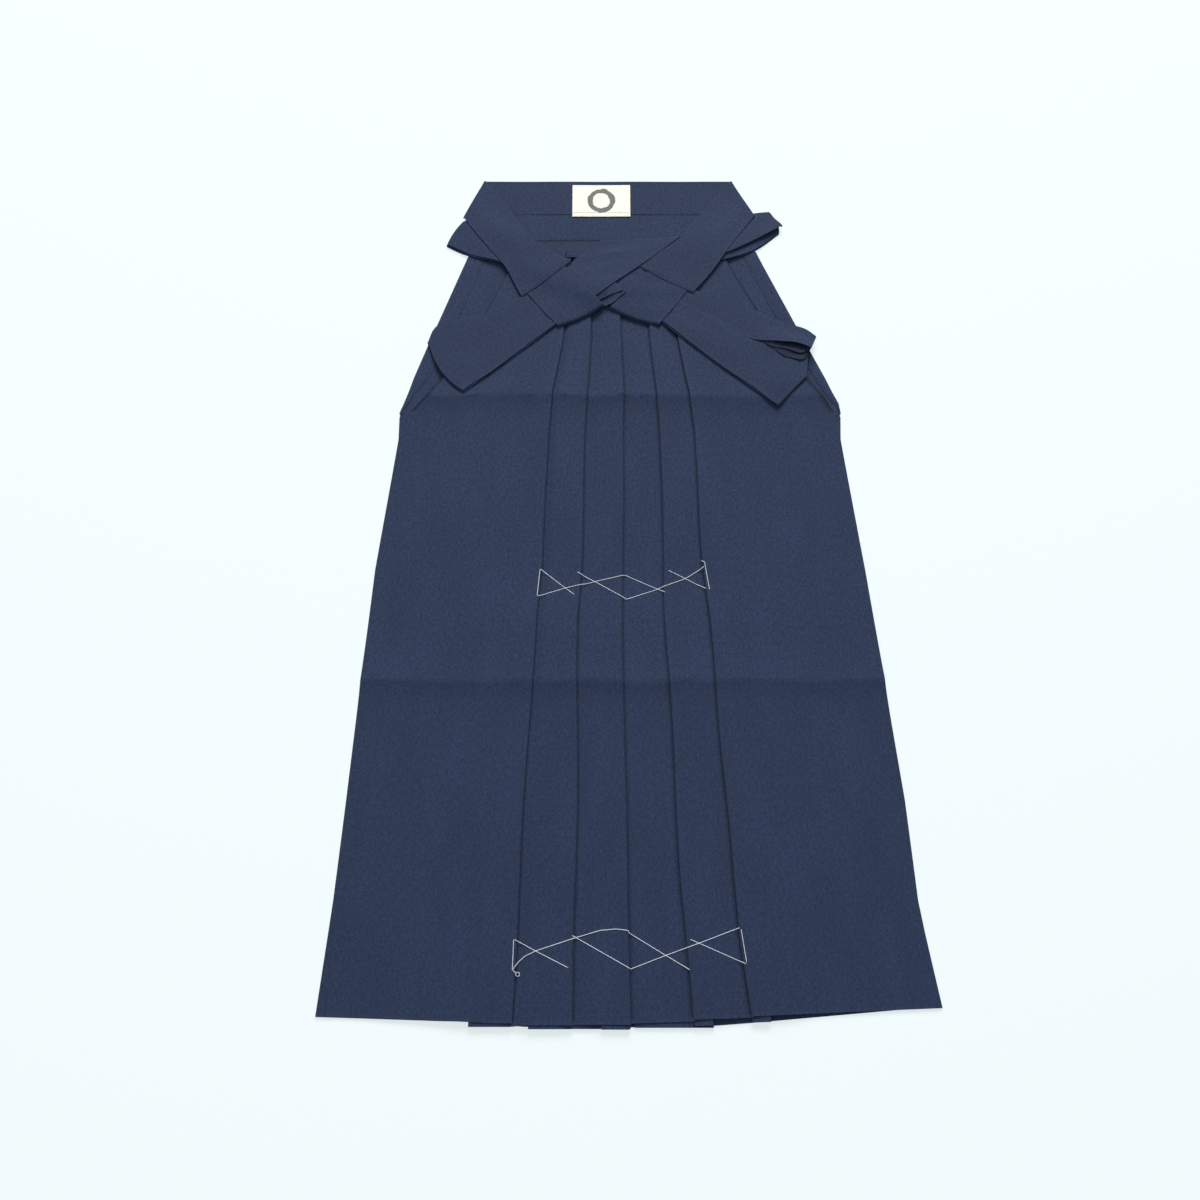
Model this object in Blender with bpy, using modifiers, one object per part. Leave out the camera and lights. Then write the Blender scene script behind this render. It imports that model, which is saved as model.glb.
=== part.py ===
"""Hakama trousers, laid flat with the front up and the ties folded over it.

Metres, +Z up. The garment lies on the plane z = 0: +Y runs from the hem to the
waist and -X is the left of someone who stands at the hem and looks at it.
Heights along the garment ("up") are measured from the hem line and shifted once,
by CENTRE_UP, so that the model's origin is under the middle of its box.
"""
import bpy
import bmesh
import numpy as np
from mathutils import Vector
from typing import NamedTuple

# ---------------------------------------------------------------- driving sizes
CLOTH = 0.0010            # wall of one layer of skirt cloth
GAP = 0.0003              # air between two pieces that touch
PITCH = CLOTH + GAP       # height of one more layer of skirt cloth
TIE_WALL = 0.0012         # wall of one stretch of a tie
BUNDLE = 0.0032           # a tie folded in four, pressed flat
BAND_WALL = 0.0022        # folded and stiffened back waistband
FRONT_BAND_WALL = 0.0014
LABEL_WALL = 0.0005

WAIST_UP = 0.965          # top edge of the front
BACK_SEAM_UP = 1.008      # back panels meet the back waistband
BACK_TOP_UP = 1.060       # top edge of the back waistband
SLIT_UP = 0.712           # side seams stop and the side slits open
FRONT_BAND_HEIGHT = 0.026
GUSSET_HANG = {"left": 0.0090, "right": 0.0078}  # gusset hems show this far below the front hem
UNDERLAY_HANG = (0.0068, 0.0090, 0.0095, 0.0080, 0.0065)  # hem of each pleat's underlay
SECTION_HANG = (0.0030, 0.0050, 0.0045, 0.0035, 0.0015, 0.0000)  # hem between the folds
SIDE_HANG_SHARE = 0.4     # share of the first section's hang that is left at its flat part
CENTRE_UP = (BACK_TOP_UP - max(UNDERLAY_HANG)) / 2  # middle of the whole length
CROTCH_UP = 0.430         # top of the leg gussets
GUSSET_START = 0.006      # half the space between the two gussets
GUSSET_FOLD_AT = {        # their folds, at the hem, half way up and at the top
    "left": (0.102, 0.082, 0.060),
    "right": (0.090, 0.078, 0.060),
}
GUSSET_RAMP = 0.070       # the front settles back onto the back over this length
EDGE_ROOM = 0.0015        # cloth leaves a pleat fold this far from its edge
SIDE_RAMP = 0.014         # side panel comes down from the pleats from here
RAMP_BEND = 0.55          # share of the way from the side seam where it bends
RAMP_LIFT = 0.12          # and how much of the height it has gained by then
BACK_COLUMNS = (0.0, 0.30, 0.45, 0.60, 0.72, 0.86, 1.0)  # shares from a side to the centre back
BAND_COLUMNS = 4          # cells along the back waistband
FRONT_BAND_COLUMNS = 10
PATCH_STEPS = 24          # points along a patch when the pile is read


class Side(NamedTuple):
    """Half outline of the skirt: one row for each height."""
    up: float
    left: float
    right: float


# Side seams below the slits, edges of the back panels above them.
SKIRT_SIDES = (
    Side(0.000, -0.3360, 0.3360),
    Side(0.124, -0.3250, 0.3190),
    Side(0.234, -0.3180, 0.3130),
    Side(0.349, -0.3110, 0.3020),
    Side(0.508, -0.3010, 0.2870),
    Side(0.680, -0.2820, 0.2680),
    Side(0.716, -0.2822, 0.2698),
    Side(0.730, -0.2772, 0.2680),
    Side(0.745, -0.2722, 0.2612),
    Side(0.765, -0.2665, 0.2532),
    Side(0.813, -0.2500, 0.2320),
    Side(0.928, -0.2090, 0.1820),
    Side(1.000, -0.1830, 0.1520),
)

# Side edges of the front above the slits.
FRONT_SLITS = (
    Side(0.712, -0.2740, 0.2650),
    Side(0.726, -0.2610, 0.2560),
    Side(0.738, -0.2500, 0.2490),
    Side(0.750, -0.2420, 0.2400),
    Side(0.764, -0.2290, 0.2290),
    Side(0.861, -0.1770, 0.1720),
    Side(0.910, -0.1550, 0.1470),
    Side(0.965, -0.1300, 0.1200),
)

# Inner line of the allowance turned in along the back panels' slit edges.
SLIT_ALLOWANCE = (
    Side(0.722, -0.2780, 0.2680),
    Side(0.733, -0.2700, 0.2600),
    Side(0.745, -0.2640, 0.2520),
    Side(0.774, -0.2440, 0.2360),
    Side(0.871, -0.2060, 0.1870),
    Side(0.932, -0.1860, 0.1620),
    Side(1.000, -0.1620, 0.1320),
)


class PleatRow(NamedTuple):
    """Where the five pleat folds lie at one height, from left to right."""
    up: float
    one: float
    two: float
    three: float
    four: float
    five: float


PLEATS = (
    PleatRow(0.000, -0.126, -0.062, 0.002, 0.068, 0.131),
    PleatRow(0.090, -0.122, -0.060, 0.000, 0.062, 0.121),
    PleatRow(0.150, -0.120, -0.058, -0.002, 0.058, 0.116),
    PleatRow(0.300, -0.114, -0.058, -0.004, 0.052, 0.107),
    PleatRow(0.445, -0.107, -0.058, -0.005, 0.046, 0.098),
    PleatRow(0.520, -0.100, -0.054, -0.005, 0.046, 0.092),
    PleatRow(0.690, -0.096, -0.050, -0.003, 0.043, 0.086),
    PleatRow(0.742, -0.092, -0.048, -0.001, 0.041, 0.081),
    PleatRow(0.820, -0.078, -0.044, -0.004, 0.033, 0.069),
    PleatRow(0.965, -0.067, -0.041, -0.010, 0.026, 0.060),
)
# Depth of each underlay: the outer ones are fixed, the inner ones take this share
# of the space between two folds.
OUTER_UNDERLAY_LEFT = 0.046
OUTER_UNDERLAY_RIGHT = 0.020
UNDERLAY_SHARE_TWO = 0.72
UNDERLAY_SHARE_THREE = 0.50
UNDERLAY_SHARE_FOUR = 0.33

# Hem line of the front: it rises a little to the corners.
HEM_ACROSS = (-0.336, -0.200, 0.000, 0.131, 0.336)
HEM_RISE = (0.003, 0.000, 0.000, 0.004, 0.012)
# Hem line of the back: it shows a little between the pleats, else it is hidden.
BACK_HEM_ACROSS = (-0.336, -0.172, -0.126, -0.108, 0.000, 0.090, 0.131, 0.155, 0.336)
BACK_HEM_UP = (0.0050, 0.0020, -0.0060, -0.0072, -0.0075, -0.0060, -0.0030, -0.0010, 0.0140)


class Rung(NamedTuple):
    """One line across a stretch of tie, from its first edge to its second.

    bulge pushes the middle of the line along the tie, for rounded ends.
    """
    first_x: float
    first_up: float
    second_x: float
    second_up: float
    bulge: float = 0.0


# The ties in the order in which they are laid, lowest first.
TIE_STRETCHES = {
    "front_tie_right_loop_under": (BUNDLE / 2, (
        Rung(0.072, 0.957, 0.084, 0.912),
        Rung(0.116, 0.972, 0.112, 0.929),
        Rung(0.150, 0.988, 0.142, 0.941),
        Rung(0.178, 1.000, 0.172, 0.953),
        Rung(0.197, 1.000, 0.204, 0.978, 0.004),
    )),
    "front_tie_right_loop": (BUNDLE / 2, (
        Rung(0.066, 0.966, 0.086, 0.916),
        Rung(0.112, 0.986, 0.110, 0.931),
        Rung(0.146, 1.003, 0.136, 0.946),
        Rung(0.176, 1.009, 0.172, 0.966),
        Rung(0.192, 1.012, 0.208, 0.986),
    )),
    "front_tie_left_arm": (BUNDLE, (
        Rung(-0.012, 0.930, -0.034, 0.884),
        Rung(-0.050, 0.914, -0.058, 0.866),
        Rung(-0.090, 0.902, -0.083, 0.843),
        Rung(-0.132, 0.880, -0.112, 0.819),
        Rung(-0.171, 0.857, -0.141, 0.794),
        Rung(-0.210, 0.847, -0.171, 0.769),
        Rung(-0.240, 0.838, -0.188, 0.756),
        Rung(-0.2505, 0.815, -0.203, 0.7435, 0.009),
    )),
    "front_tie_left_loop": (BUNDLE, (
        Rung(-0.075, 0.948, -0.085, 0.902),
        Rung(-0.120, 0.962, -0.124, 0.917),
        Rung(-0.163, 0.977, -0.163, 0.931),
        Rung(-0.196, 1.001, -0.199, 0.944),
        Rung(-0.212, 0.995, -0.230, 0.960),
    )),
    "front_tie_right_arm": (BUNDLE, (
        Rung(0.004, 0.936, -0.028, 0.888),
        Rung(0.048, 0.917, 0.014, 0.868),
        Rung(0.090, 0.890, 0.047, 0.844),
        Rung(0.130, 0.873, 0.084, 0.812),
        Rung(0.172, 0.857, 0.125, 0.777),
        Rung(0.200, 0.828, 0.158, 0.750),
        Rung(0.220, 0.812, 0.176, 0.735),
        Rung(0.2335, 0.8005, 0.191, 0.7235, 0.010),
    )),
    "front_tie_right_fold": (TIE_WALL, (
        Rung(0.130, 0.873, 0.118, 0.844),
        Rung(0.172, 0.857, 0.160, 0.818),
        Rung(0.204, 0.841, 0.196, 0.811),
        Rung(0.228, 0.831, 0.2185, 0.8075),
        Rung(0.2435, 0.8195, 0.2335, 0.8005),
    )),
    "wrap_right": (TIE_WALL, (
        Rung(0.034, 0.920, 0.090, 0.898),
        Rung(0.020, 0.904, 0.074, 0.877),
        Rung(0.002, 0.885, 0.058, 0.856),
        Rung(-0.017, 0.865, 0.046, 0.840, 0.003),
    )),
    "tie_end_roll": (TIE_WALL, (
        Rung(-0.034, 0.902, -0.046, 0.877),
        Rung(-0.020, 0.897, -0.032, 0.872),
        Rung(-0.008, 0.892, -0.018, 0.872, 0.006),
    )),
    "back_tie_right": (TIE_WALL, (
        Rung(0.172, 1.003, 0.144, 1.059),
        Rung(0.148, 0.968, 0.117, 1.027),
        Rung(0.126, 0.934, 0.091, 0.993),
        Rung(0.107, 0.908, 0.064, 0.958),
        Rung(0.090, 0.885, 0.017, 0.927, 0.003),
    )),
    "centre_turn": (TIE_WALL, (
        Rung(-0.032, 0.963, 0.074, 0.967),
        Rung(-0.048, 0.950, 0.044, 0.943),
        Rung(-0.064, 0.934, 0.021, 0.924),
        Rung(-0.080, 0.915, -0.008, 0.900),
        Rung(-0.092, 0.896, -0.036, 0.878),
    )),
    "wrap_left": (TIE_WALL, (
        Rung(-0.133, 0.892, -0.080, 0.926),
        Rung(-0.118, 0.874, -0.064, 0.908),
        Rung(-0.103, 0.856, -0.047, 0.888),
        Rung(-0.087, 0.838, -0.029, 0.867, 0.003),
    )),
    "back_tie_left": (TIE_WALL, (
        Rung(-0.185, 1.060, -0.211, 1.001),
        Rung(-0.158, 1.024, -0.184, 0.963),
        Rung(-0.131, 0.984, -0.157, 0.927),
        Rung(-0.110, 0.956, -0.143, 0.902),
        Rung(-0.070, 0.930, -0.133, 0.880, 0.003),
    )),
}
TIE_COLUMNS = 4           # cells across a stretch of tie

LABEL_LEFT = -0.068
LABEL_RIGHT = 0.009
LABEL_BOTTOM_UP = 1.005
LABEL_TOP_UP = 1.054
BAND_LEFT_LOW = -0.208    # the waistband turns over into the ties along slanted folds
BAND_LEFT_HIGH = -0.185
BAND_RIGHT_LOW = 0.1695
BAND_RIGHT_HIGH = 0.144

NAVY = (0.036, 0.054, 0.106)
NAVY_INSIDE = (0.032, 0.048, 0.096)
CREAM = (0.80, 0.79, 0.72)
ROUGH_CLOTH = 0.82
SATIN = 0.45


# ---------------------------------------------------------------- small helpers
def at_height(table, column, up):
    """Reads one column of a table of rows at a height between its rows."""
    heights = [row.up for row in table]
    values = [getattr(row, column) for row in table]
    return float(np.interp(up, heights, values))


def front_side(column, up):
    """Side of the front: the side seam, then the edge of the slit."""
    table = SKIRT_SIDES if up < SLIT_UP else FRONT_SLITS
    return at_height(table, column, up)


def hem_rise(x):
    """Height of the front hem at one place across it."""
    return float(np.interp(x, HEM_ACROSS, HEM_RISE))


def back_hem(x):
    """Height of the back hem at one place across it."""
    return float(np.interp(x, BACK_HEM_ACROSS, BACK_HEM_UP))


def centre_back(up):
    """The centre back seam runs half way between the two sides."""
    left = at_height(SKIRT_SIDES, "left", up)
    right = at_height(SKIRT_SIDES, "right", up)
    return (left + right) / 2


def level(count):
    """Height of the middle of the layer with this many layers under it."""
    return CLOTH / 2 + PITCH * count


def front_base(up):
    """Layers under the front at its pleats: the back, and the gussets low down."""
    on_gusset = np.interp(up, (CROTCH_UP, CROTCH_UP + GUSSET_RAMP), (1.0, 0.0))
    return 1.0 + 2.0 * float(on_gusset)


class Pile:
    """Height of what already lies on the table, on a square net of cells."""

    CELL = 0.002
    HALF_WIDTH = 0.36
    LOW_UP = -0.02
    HIGH_UP = 1.09

    def __init__(self):
        across = int(2 * self.HALF_WIDTH / self.CELL)
        along = int((self.HIGH_UP - self.LOW_UP) / self.CELL)
        self.top = np.zeros((across, along))

    def cells(self, points):
        """Net cells of an array of points."""
        column = ((points[..., 0] + self.HALF_WIDTH) / self.CELL).astype(int)
        row = ((points[..., 1] - self.LOW_UP) / self.CELL).astype(int)
        column = np.clip(column, 1, self.top.shape[0] - 2)
        row = np.clip(row, 1, self.top.shape[1] - 2)
        return column, row

    def lay(self, grid, rise):
        """Adds a sheet whose upper face is its grid moved up by rise."""
        for patch in patches(grid):
            column, row = self.cells(patch)
            np.maximum.at(self.top, (column, row), patch[..., 2] + rise)

    def rest(self, flat_grid):
        """Lowest grid that clears the pile over every cell of a flat grid."""
        rows, columns = flat_grid.shape[:2]
        height = np.zeros((rows, columns))
        for i in range(rows - 1):
            for j in range(columns - 1):
                patch = fine_patch(flat_grid[i:i + 2, j:j + 2])
                column, row = self.cells(patch)
                found = 0.0
                for step_x in (-1, 0, 1):
                    for step_y in (-1, 0, 1):
                        near = self.top[column + step_x, row + step_y]
                        found = max(found, float(near.max()))
                corner = height[i:i + 2, j:j + 2]
                np.maximum(corner, found, out=corner)
        settled = flat_grid.copy()
        settled[..., 2] = height + GAP
        return settled


def fine_patch(corners, steps=PATCH_STEPS):
    """Points of the bilinear patch between four corners."""
    u = np.linspace(0.0, 1.0, steps)[:, None, None]
    v = np.linspace(0.0, 1.0, steps)[None, :, None]
    low = corners[0, 0] * (1 - v) + corners[0, 1] * v
    high = corners[1, 0] * (1 - v) + corners[1, 1] * v
    return low * (1 - u) + high * u


def patches(grid):
    """All patches of a grid of points, fine enough to fill every net cell."""
    rows, columns = grid.shape[:2]
    for i in range(rows - 1):
        for j in range(columns - 1):
            corners = grid[i:i + 2, j:j + 2]
            span = max(np.abs(corners[0] - corners[1]).max(), np.abs(corners[:, 0] - corners[:, 1]).max())
            yield fine_patch(corners, steps=int(span / Pile.CELL) + 2)


def ladder(rungs, columns):
    """Flat grid of points between the two edges of a stretch of tie."""
    grid = np.zeros((len(rungs), columns + 1, 3))
    for i, rung in enumerate(rungs):
        first = np.array((rung.first_x, rung.first_up, 0.0))
        second = np.array((rung.second_x, rung.second_up, 0.0))
        across = second - first
        before = rungs[max(i - 1, 0)]
        before_first = np.array((before.first_x, before.first_up, 0.0))
        before_second = np.array((before.second_x, before.second_up, 0.0))
        along = (first + second - before_first - before_second) / 2
        along /= max(np.linalg.norm(along), CLOTH)
        for j in range(columns + 1):
            share = j / columns
            swell = 4 * share * (1 - share) * rung.bulge
            grid[i, j] = first + across * share + along * swell
    return grid


def material(name, colour, roughness):
    """A plain finish for one sub-part."""
    finish = bpy.data.materials.new(name)
    finish.use_nodes = True
    shader = finish.node_tree.nodes["Principled BSDF"]
    shader.inputs["Base Color"].default_value = (*colour, 1.0)
    shader.inputs["Roughness"].default_value = roughness
    shader.inputs["Metallic"].default_value = 0.0
    return finish


def cloth_piece(name, grids, wall, offset, colour=NAVY, roughness=ROUGH_CLOTH):
    """Makes one sheet of cloth from grids that share their edge points.

    offset 0 puts the wall on both sides of the grid, 1 puts it all above.
    """
    shape = bmesh.new()
    for grid in grids:
        rows, columns = grid.shape[:2]
        corners = [[shape.verts.new(Vector(grid[i, j])) for j in range(columns)] for i in range(rows)]
        for i in range(rows - 1):
            for j in range(columns - 1):
                square = (corners[i][j], corners[i][j + 1], corners[i + 1][j + 1], corners[i + 1][j])
                shape.faces.new(square)
    bmesh.ops.remove_doubles(shape, verts=shape.verts, dist=0.00001)
    bmesh.ops.triangulate(shape, faces=shape.faces)
    mesh = bpy.data.meshes.new(name)
    shape.to_mesh(mesh)
    shape.free()
    piece = bpy.data.objects.new(name, mesh)
    piece.parent = GARMENT
    PARTS.objects.link(piece)
    mesh.materials.append(material(name + "_cloth", colour, roughness))
    thicken = piece.modifiers.new("wall", "SOLIDIFY")
    thicken.thickness = wall
    thicken.offset = offset
    thicken.use_even_offset = True
    thicken.use_quality_normals = True
    return piece


# ---------------------------------------------------------------- the skirt
def back_panel(name, column, pile):
    """One back panel, from its side to the centre back seam, flat on the table."""
    ups = [row.up for row in SKIRT_SIDES]
    ups[-1] = BACK_SEAM_UP - GAP
    sign = -1 if column == "left" else 1
    ups = sorted(set(ups) | {row.up for row in SLIT_ALLOWANCE[:-1]})
    grid = np.zeros((len(ups), len(BACK_COLUMNS), 3))
    for i, up in enumerate(ups):
        edge = at_height(SKIRT_SIDES, column, up)
        seam = centre_back(up) + sign * GAP / 2
        for j, share in enumerate(BACK_COLUMNS):
            x = edge + (seam - edge) * share
            lift = back_hem(x) if i == 0 else 0.0
            grid[i, j] = (x, up + lift, level(0))
    turned = np.array([turn_allowance(column, row) for row in grid if row[0, 1] > SLIT_UP])
    if sign > 0:
        grid = grid[:, ::-1]
    else:
        turned = turned[:, ::-1]
    piece = cloth_piece(name, (grid, turned), CLOTH, 0.0, NAVY_INSIDE)
    pile.lay(grid, CLOTH / 2)
    pile.lay(turned, CLOTH / 2)
    return piece


def turn_allowance(column, row):
    """The strip that is turned in along one slit edge, at one height."""
    edge_x, up, low = row[0]
    line = at_height(SLIT_ALLOWANCE, column, up)
    return ((edge_x, up, low), (edge_x, up, level(1)), (line, up, level(1)))


def leg_gusset(name, side, pile):
    """The folded piece between the legs, lying between the front and the back."""
    ups = (-GUSSET_HANG[side], CROTCH_UP / 2, CROTCH_UP)
    fold_at = GUSSET_FOLD_AT[side]
    sign = -1 if side == "left" else 1
    upper_start = GUSSET_START
    grid = np.zeros((len(ups), 4, 3))
    for i, up in enumerate(ups):
        fold = fold_at[i]
        grid[i, 0] = (sign * upper_start, up, level(2))
        grid[i, 1] = (sign * fold, up, level(2))
        grid[i, 2] = (sign * fold, up, level(1))
        grid[i, 3] = (sign * upper_start, up, level(1))
    if sign < 0:
        grid = grid[:, ::-1]
    piece = cloth_piece(name, (grid,), CLOTH, 0.0, NAVY_INSIDE)
    pile.lay(grid, CLOTH / 2)
    return piece


def underlays(folds):
    """Inner folds that belong to the five pleat folds at one height."""
    return (
        folds.one - OUTER_UNDERLAY_LEFT,
        folds.two - UNDERLAY_SHARE_TWO * (folds.two - folds.one),
        folds.three - UNDERLAY_SHARE_THREE * (folds.three - folds.two),
        folds.four + UNDERLAY_SHARE_FOUR * (folds.five - folds.four),
        folds.five + OUTER_UNDERLAY_RIGHT,
    )


def pleat_folds(up):
    """The five pleat folds at any height."""
    return PleatRow(up, *(at_height(PLEATS, name, up) for name in PleatRow._fields[1:]))


def left_section(up):
    """Path of the cloth across the left front: (x, layers under it, hem's hang)."""
    folds = pleat_folds(up)
    inner = underlays(folds)
    base = front_base(up)
    side = front_side("left", up)
    flat = inner[0] - SIDE_RAMP
    top = SECTION_HANG
    under = UNDERLAY_HANG
    path = [(side, 1.0, 0.0)]
    path.append((side + (flat - side) * RAMP_BEND, 1.0 + (base + 1.0) * RAMP_LIFT, 0.0))
    path.append((flat, base + 2.0, top[0] * SIDE_HANG_SHARE))
    for i, fold in enumerate((folds.one, folds.two)):
        path += [(fold, base + 2, top[i]), (fold, base + 1, under[i])]
        path += [(inner[i], base + 1, under[i]), (inner[i], base, under[i])]
        path += [(fold + EDGE_ROOM, base, top[i + 1]), (inner[i + 1] - EDGE_ROOM, base + 2, top[i + 1])]
    path += [(folds.three, base + 2, top[2]), (folds.three, base + 1, under[2])]
    path.append((inner[2], base + 1, under[2]))
    return path


def right_section(up):
    """Path of the cloth across the right front, from the hidden centre seam."""
    folds = pleat_folds(up)
    inner = underlays(folds)
    base = front_base(up)
    side = front_side("right", up)
    flat = inner[4] + SIDE_RAMP
    top = SECTION_HANG
    under = UNDERLAY_HANG
    path = [(inner[2], base, under[2]), (folds.three + EDGE_ROOM, base, top[3])]
    for i, fold in ((3, folds.four), (4, folds.five)):
        path += [(fold - EDGE_ROOM, base, top[i]), (inner[i], base, under[i])]
        path += [(inner[i], base + 1, under[i]), (fold, base + 1, under[i]), (fold, base + 2, top[i + 1])]
        if i == 3:
            path.append((inner[3] + EDGE_ROOM, base + 2, top[4]))
    path.append((flat, base + 2.0, top[5]))
    path.append((side + (flat - side) * RAMP_BEND, 1.0 + (base + 1.0) * RAMP_LIFT, top[5]))
    path.append((side, 1.0, top[5]))
    return path


def front_panel(name, section, pile):
    """One front panel: the zigzag of its pleats carried from hem to waist."""
    side_rows = tuple(row for row in SKIRT_SIDES if row.up < SLIT_UP)
    ups = {row.up for row in PLEATS + side_rows + FRONT_SLITS}
    ups = sorted(ups | {CROTCH_UP, CROTCH_UP + GUSSET_RAMP})
    rows = []
    for up in ups:
        row = []
        for x, layers, hang in section(up):
            lift = hem_rise(x) - hang if up == 0.0 else 0.0
            row.append((x, up + lift, level(layers)))
        rows.append(row)
    grid = np.array(rows)
    piece = cloth_piece(name, (grid,), CLOTH, 0.0)
    pile.lay(grid, CLOTH / 2)
    return piece


# ---------------------------------------------------------------- bands and label
def back_waistband(pile):
    """The plain wide waistband at the back, its inside face up."""
    low = BACK_SEAM_UP
    grid = np.zeros((2, BAND_COLUMNS + 1, 3))
    for j in range(BAND_COLUMNS + 1):
        share = j / BAND_COLUMNS
        low_x = BAND_LEFT_LOW + (BAND_RIGHT_LOW - BAND_LEFT_LOW) * share
        high_x = BAND_LEFT_HIGH + (BAND_RIGHT_HIGH - BAND_LEFT_HIGH) * share
        grid[0, j] = (low_x, low, 0.0)
        grid[1, j] = (high_x, BACK_TOP_UP, 0.0)
    cloth_piece("back_waistband", (grid,), BAND_WALL, 1.0, NAVY_INSIDE)
    pile.lay(grid, BAND_WALL)


def flat_strip(left, right, low_up, high_up, columns):
    """Flat grid of a straight strip."""
    grid = np.zeros((2, columns + 1, 3))
    for j in range(columns + 1):
        x = left + (right - left) * j / columns
        grid[0, j] = (x, low_up, 0.0)
        grid[1, j] = (x, high_up, 0.0)
    return grid


def label(pile):
    """The woven label on the inside of the back waistband."""
    grid = pile.rest(flat_strip(LABEL_LEFT, LABEL_RIGHT, LABEL_BOTTOM_UP, LABEL_TOP_UP, 2))
    cloth_piece("label", (grid,), LABEL_WALL, 1.0, CREAM, SATIN)
    pile.lay(grid, LABEL_WALL)


def front_waistband(pile):
    """The front waistband, sewn over the top of the pleats."""
    left = front_side("left", WAIST_UP)
    right = front_side("right", WAIST_UP)
    low = WAIST_UP - FRONT_BAND_HEIGHT
    grid = pile.rest(flat_strip(left, right, low, WAIST_UP + GAP, FRONT_BAND_COLUMNS))
    cloth_piece("front_waistband", (grid,), FRONT_BAND_WALL, 1.0)
    pile.lay(grid, FRONT_BAND_WALL)


def tie_stretch(name, wall, rungs, pile):
    """One stretch of a tie, laid on whatever is under it."""
    flat = ladder(rungs, TIE_COLUMNS)
    facing = np.cross(flat[1, 0] - flat[0, 0], flat[0, 1] - flat[0, 0])
    if facing[2] > 0:
        flat = flat[:, ::-1]
    grid = pile.rest(flat)
    cloth_piece(name, (grid,), wall, 1.0)
    pile.lay(grid, wall)


# ---------------------------------------------------------------- the whole garment
def clear_scene():
    """Removes whatever the file holds before the garment is made."""
    for old in list(bpy.data.objects):
        bpy.data.objects.remove(old, do_unlink=True)


clear_scene()
PARTS = bpy.data.collections.new("hakama")
bpy.context.scene.collection.children.link(PARTS)
GARMENT = bpy.data.objects.new("garment_origin", None)
GARMENT.location = (0.0, -CENTRE_UP, 0.0)
PARTS.objects.link(GARMENT)

table = Pile()
back_panel("back_panel_left", "left", table)
back_panel("back_panel_right", "right", table)
leg_gusset("leg_gusset_left", "left", table)
leg_gusset("leg_gusset_right", "right", table)
front_panel("front_panel_left", left_section, table)
front_panel("front_panel_right", right_section, table)
back_waistband(table)
label(table)
front_waistband(table)
for stretch, (stretch_wall, stretch_rungs) in TIE_STRETCHES.items():
    tie_stretch(stretch, stretch_wall, stretch_rungs, table)
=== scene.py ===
"""A pair of navy hakama trousers, laid flat with the front up and the ties folded.

The CAD frame gives the place and the length of the garment. Every cloth piece is
made again here as a thin sheet on the form of its solid: pressed pleats with round
folds, ties that settle on what lies under them, and the two rows of white basting
that hold the pleats until the garment is first worn.

Metres, +Z up, +Y from the hem to the waist. "up" is a distance from the hem line.
"""
import logging
import math
from dataclasses import dataclass, field
from enum import Enum
from typing import Any, Iterable, NamedTuple, Sequence

import bmesh
import bpy
import numpy as np
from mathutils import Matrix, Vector


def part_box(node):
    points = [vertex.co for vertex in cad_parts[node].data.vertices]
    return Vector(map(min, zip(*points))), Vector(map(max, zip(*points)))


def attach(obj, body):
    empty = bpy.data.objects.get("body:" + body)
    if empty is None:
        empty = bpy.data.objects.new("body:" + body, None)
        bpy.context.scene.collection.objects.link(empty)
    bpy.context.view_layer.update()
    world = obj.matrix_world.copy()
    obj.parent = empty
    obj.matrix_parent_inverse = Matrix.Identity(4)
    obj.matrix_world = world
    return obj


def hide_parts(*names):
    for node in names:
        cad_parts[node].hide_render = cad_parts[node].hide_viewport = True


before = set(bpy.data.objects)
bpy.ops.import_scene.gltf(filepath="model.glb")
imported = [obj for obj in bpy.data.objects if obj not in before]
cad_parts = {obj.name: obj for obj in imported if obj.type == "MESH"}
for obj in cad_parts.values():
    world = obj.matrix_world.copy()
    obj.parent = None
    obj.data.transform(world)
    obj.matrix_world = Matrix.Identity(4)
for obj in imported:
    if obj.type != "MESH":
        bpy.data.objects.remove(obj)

LOG = logging.getLogger("hakama")
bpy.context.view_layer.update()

CLOTH_PITCH = 0.0013      # height from one layer of skirt cloth to the next
CLOTH_MIDDLE = 0.0005     # middle of the lowest layer above the table
CLOTH_WALL = 0.0008       # pressed polyester with its weave
TIE_WALL = 0.0007         # a tie is two layers pressed together
LAYING_GAP = 0.0002       # air left under a piece that lies on another
TIE_LOWEST = 0.0014       # a tie's rolled edge stays this far above the table
TIE_WEIGHT = 0.00003      # how far a free point of tie sinks each round
TIE_ROUNDS = 90
TIE_UNEVEN = 0.0005       # waver of a tie's edges, and height of its soft waves
EDGE_HIGHLIGHT = 0.6        # painted highlight along a tie's folded edges and a slit's turned edge
JOIN_WITHIN = 0.00001     # points of neighbouring sheets this near are one
SHARP_FROM = 50           # degrees between faces that make a hard edge
BACK_TOP_UP = 1.060
WAIST_UP = 0.965
BACK_SEAM_UP = 1.0085
SLIT_UP = 0.712
CENTRE_UP = BACK_TOP_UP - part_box("back_waistband")[1].y


# ------------------------------------------------------------------ small tools
def linear(code: str) -> tuple[float, float, float, float]:
    """Turns an sRGB hex colour into linear values.

    Args:
        code: Six hex digits, such as "34405A".

    Returns:
        Red, green, blue and an alpha of 1.
    """
    parts = [int(code[i:i + 2], 16) / 255 for i in (0, 2, 4)]
    red, green, blue = (p / 12.92 if p <= 0.04045 else ((p + 0.055) / 1.055) ** 2.4 for p in parts)
    return (red, green, blue, 1.0)


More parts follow.
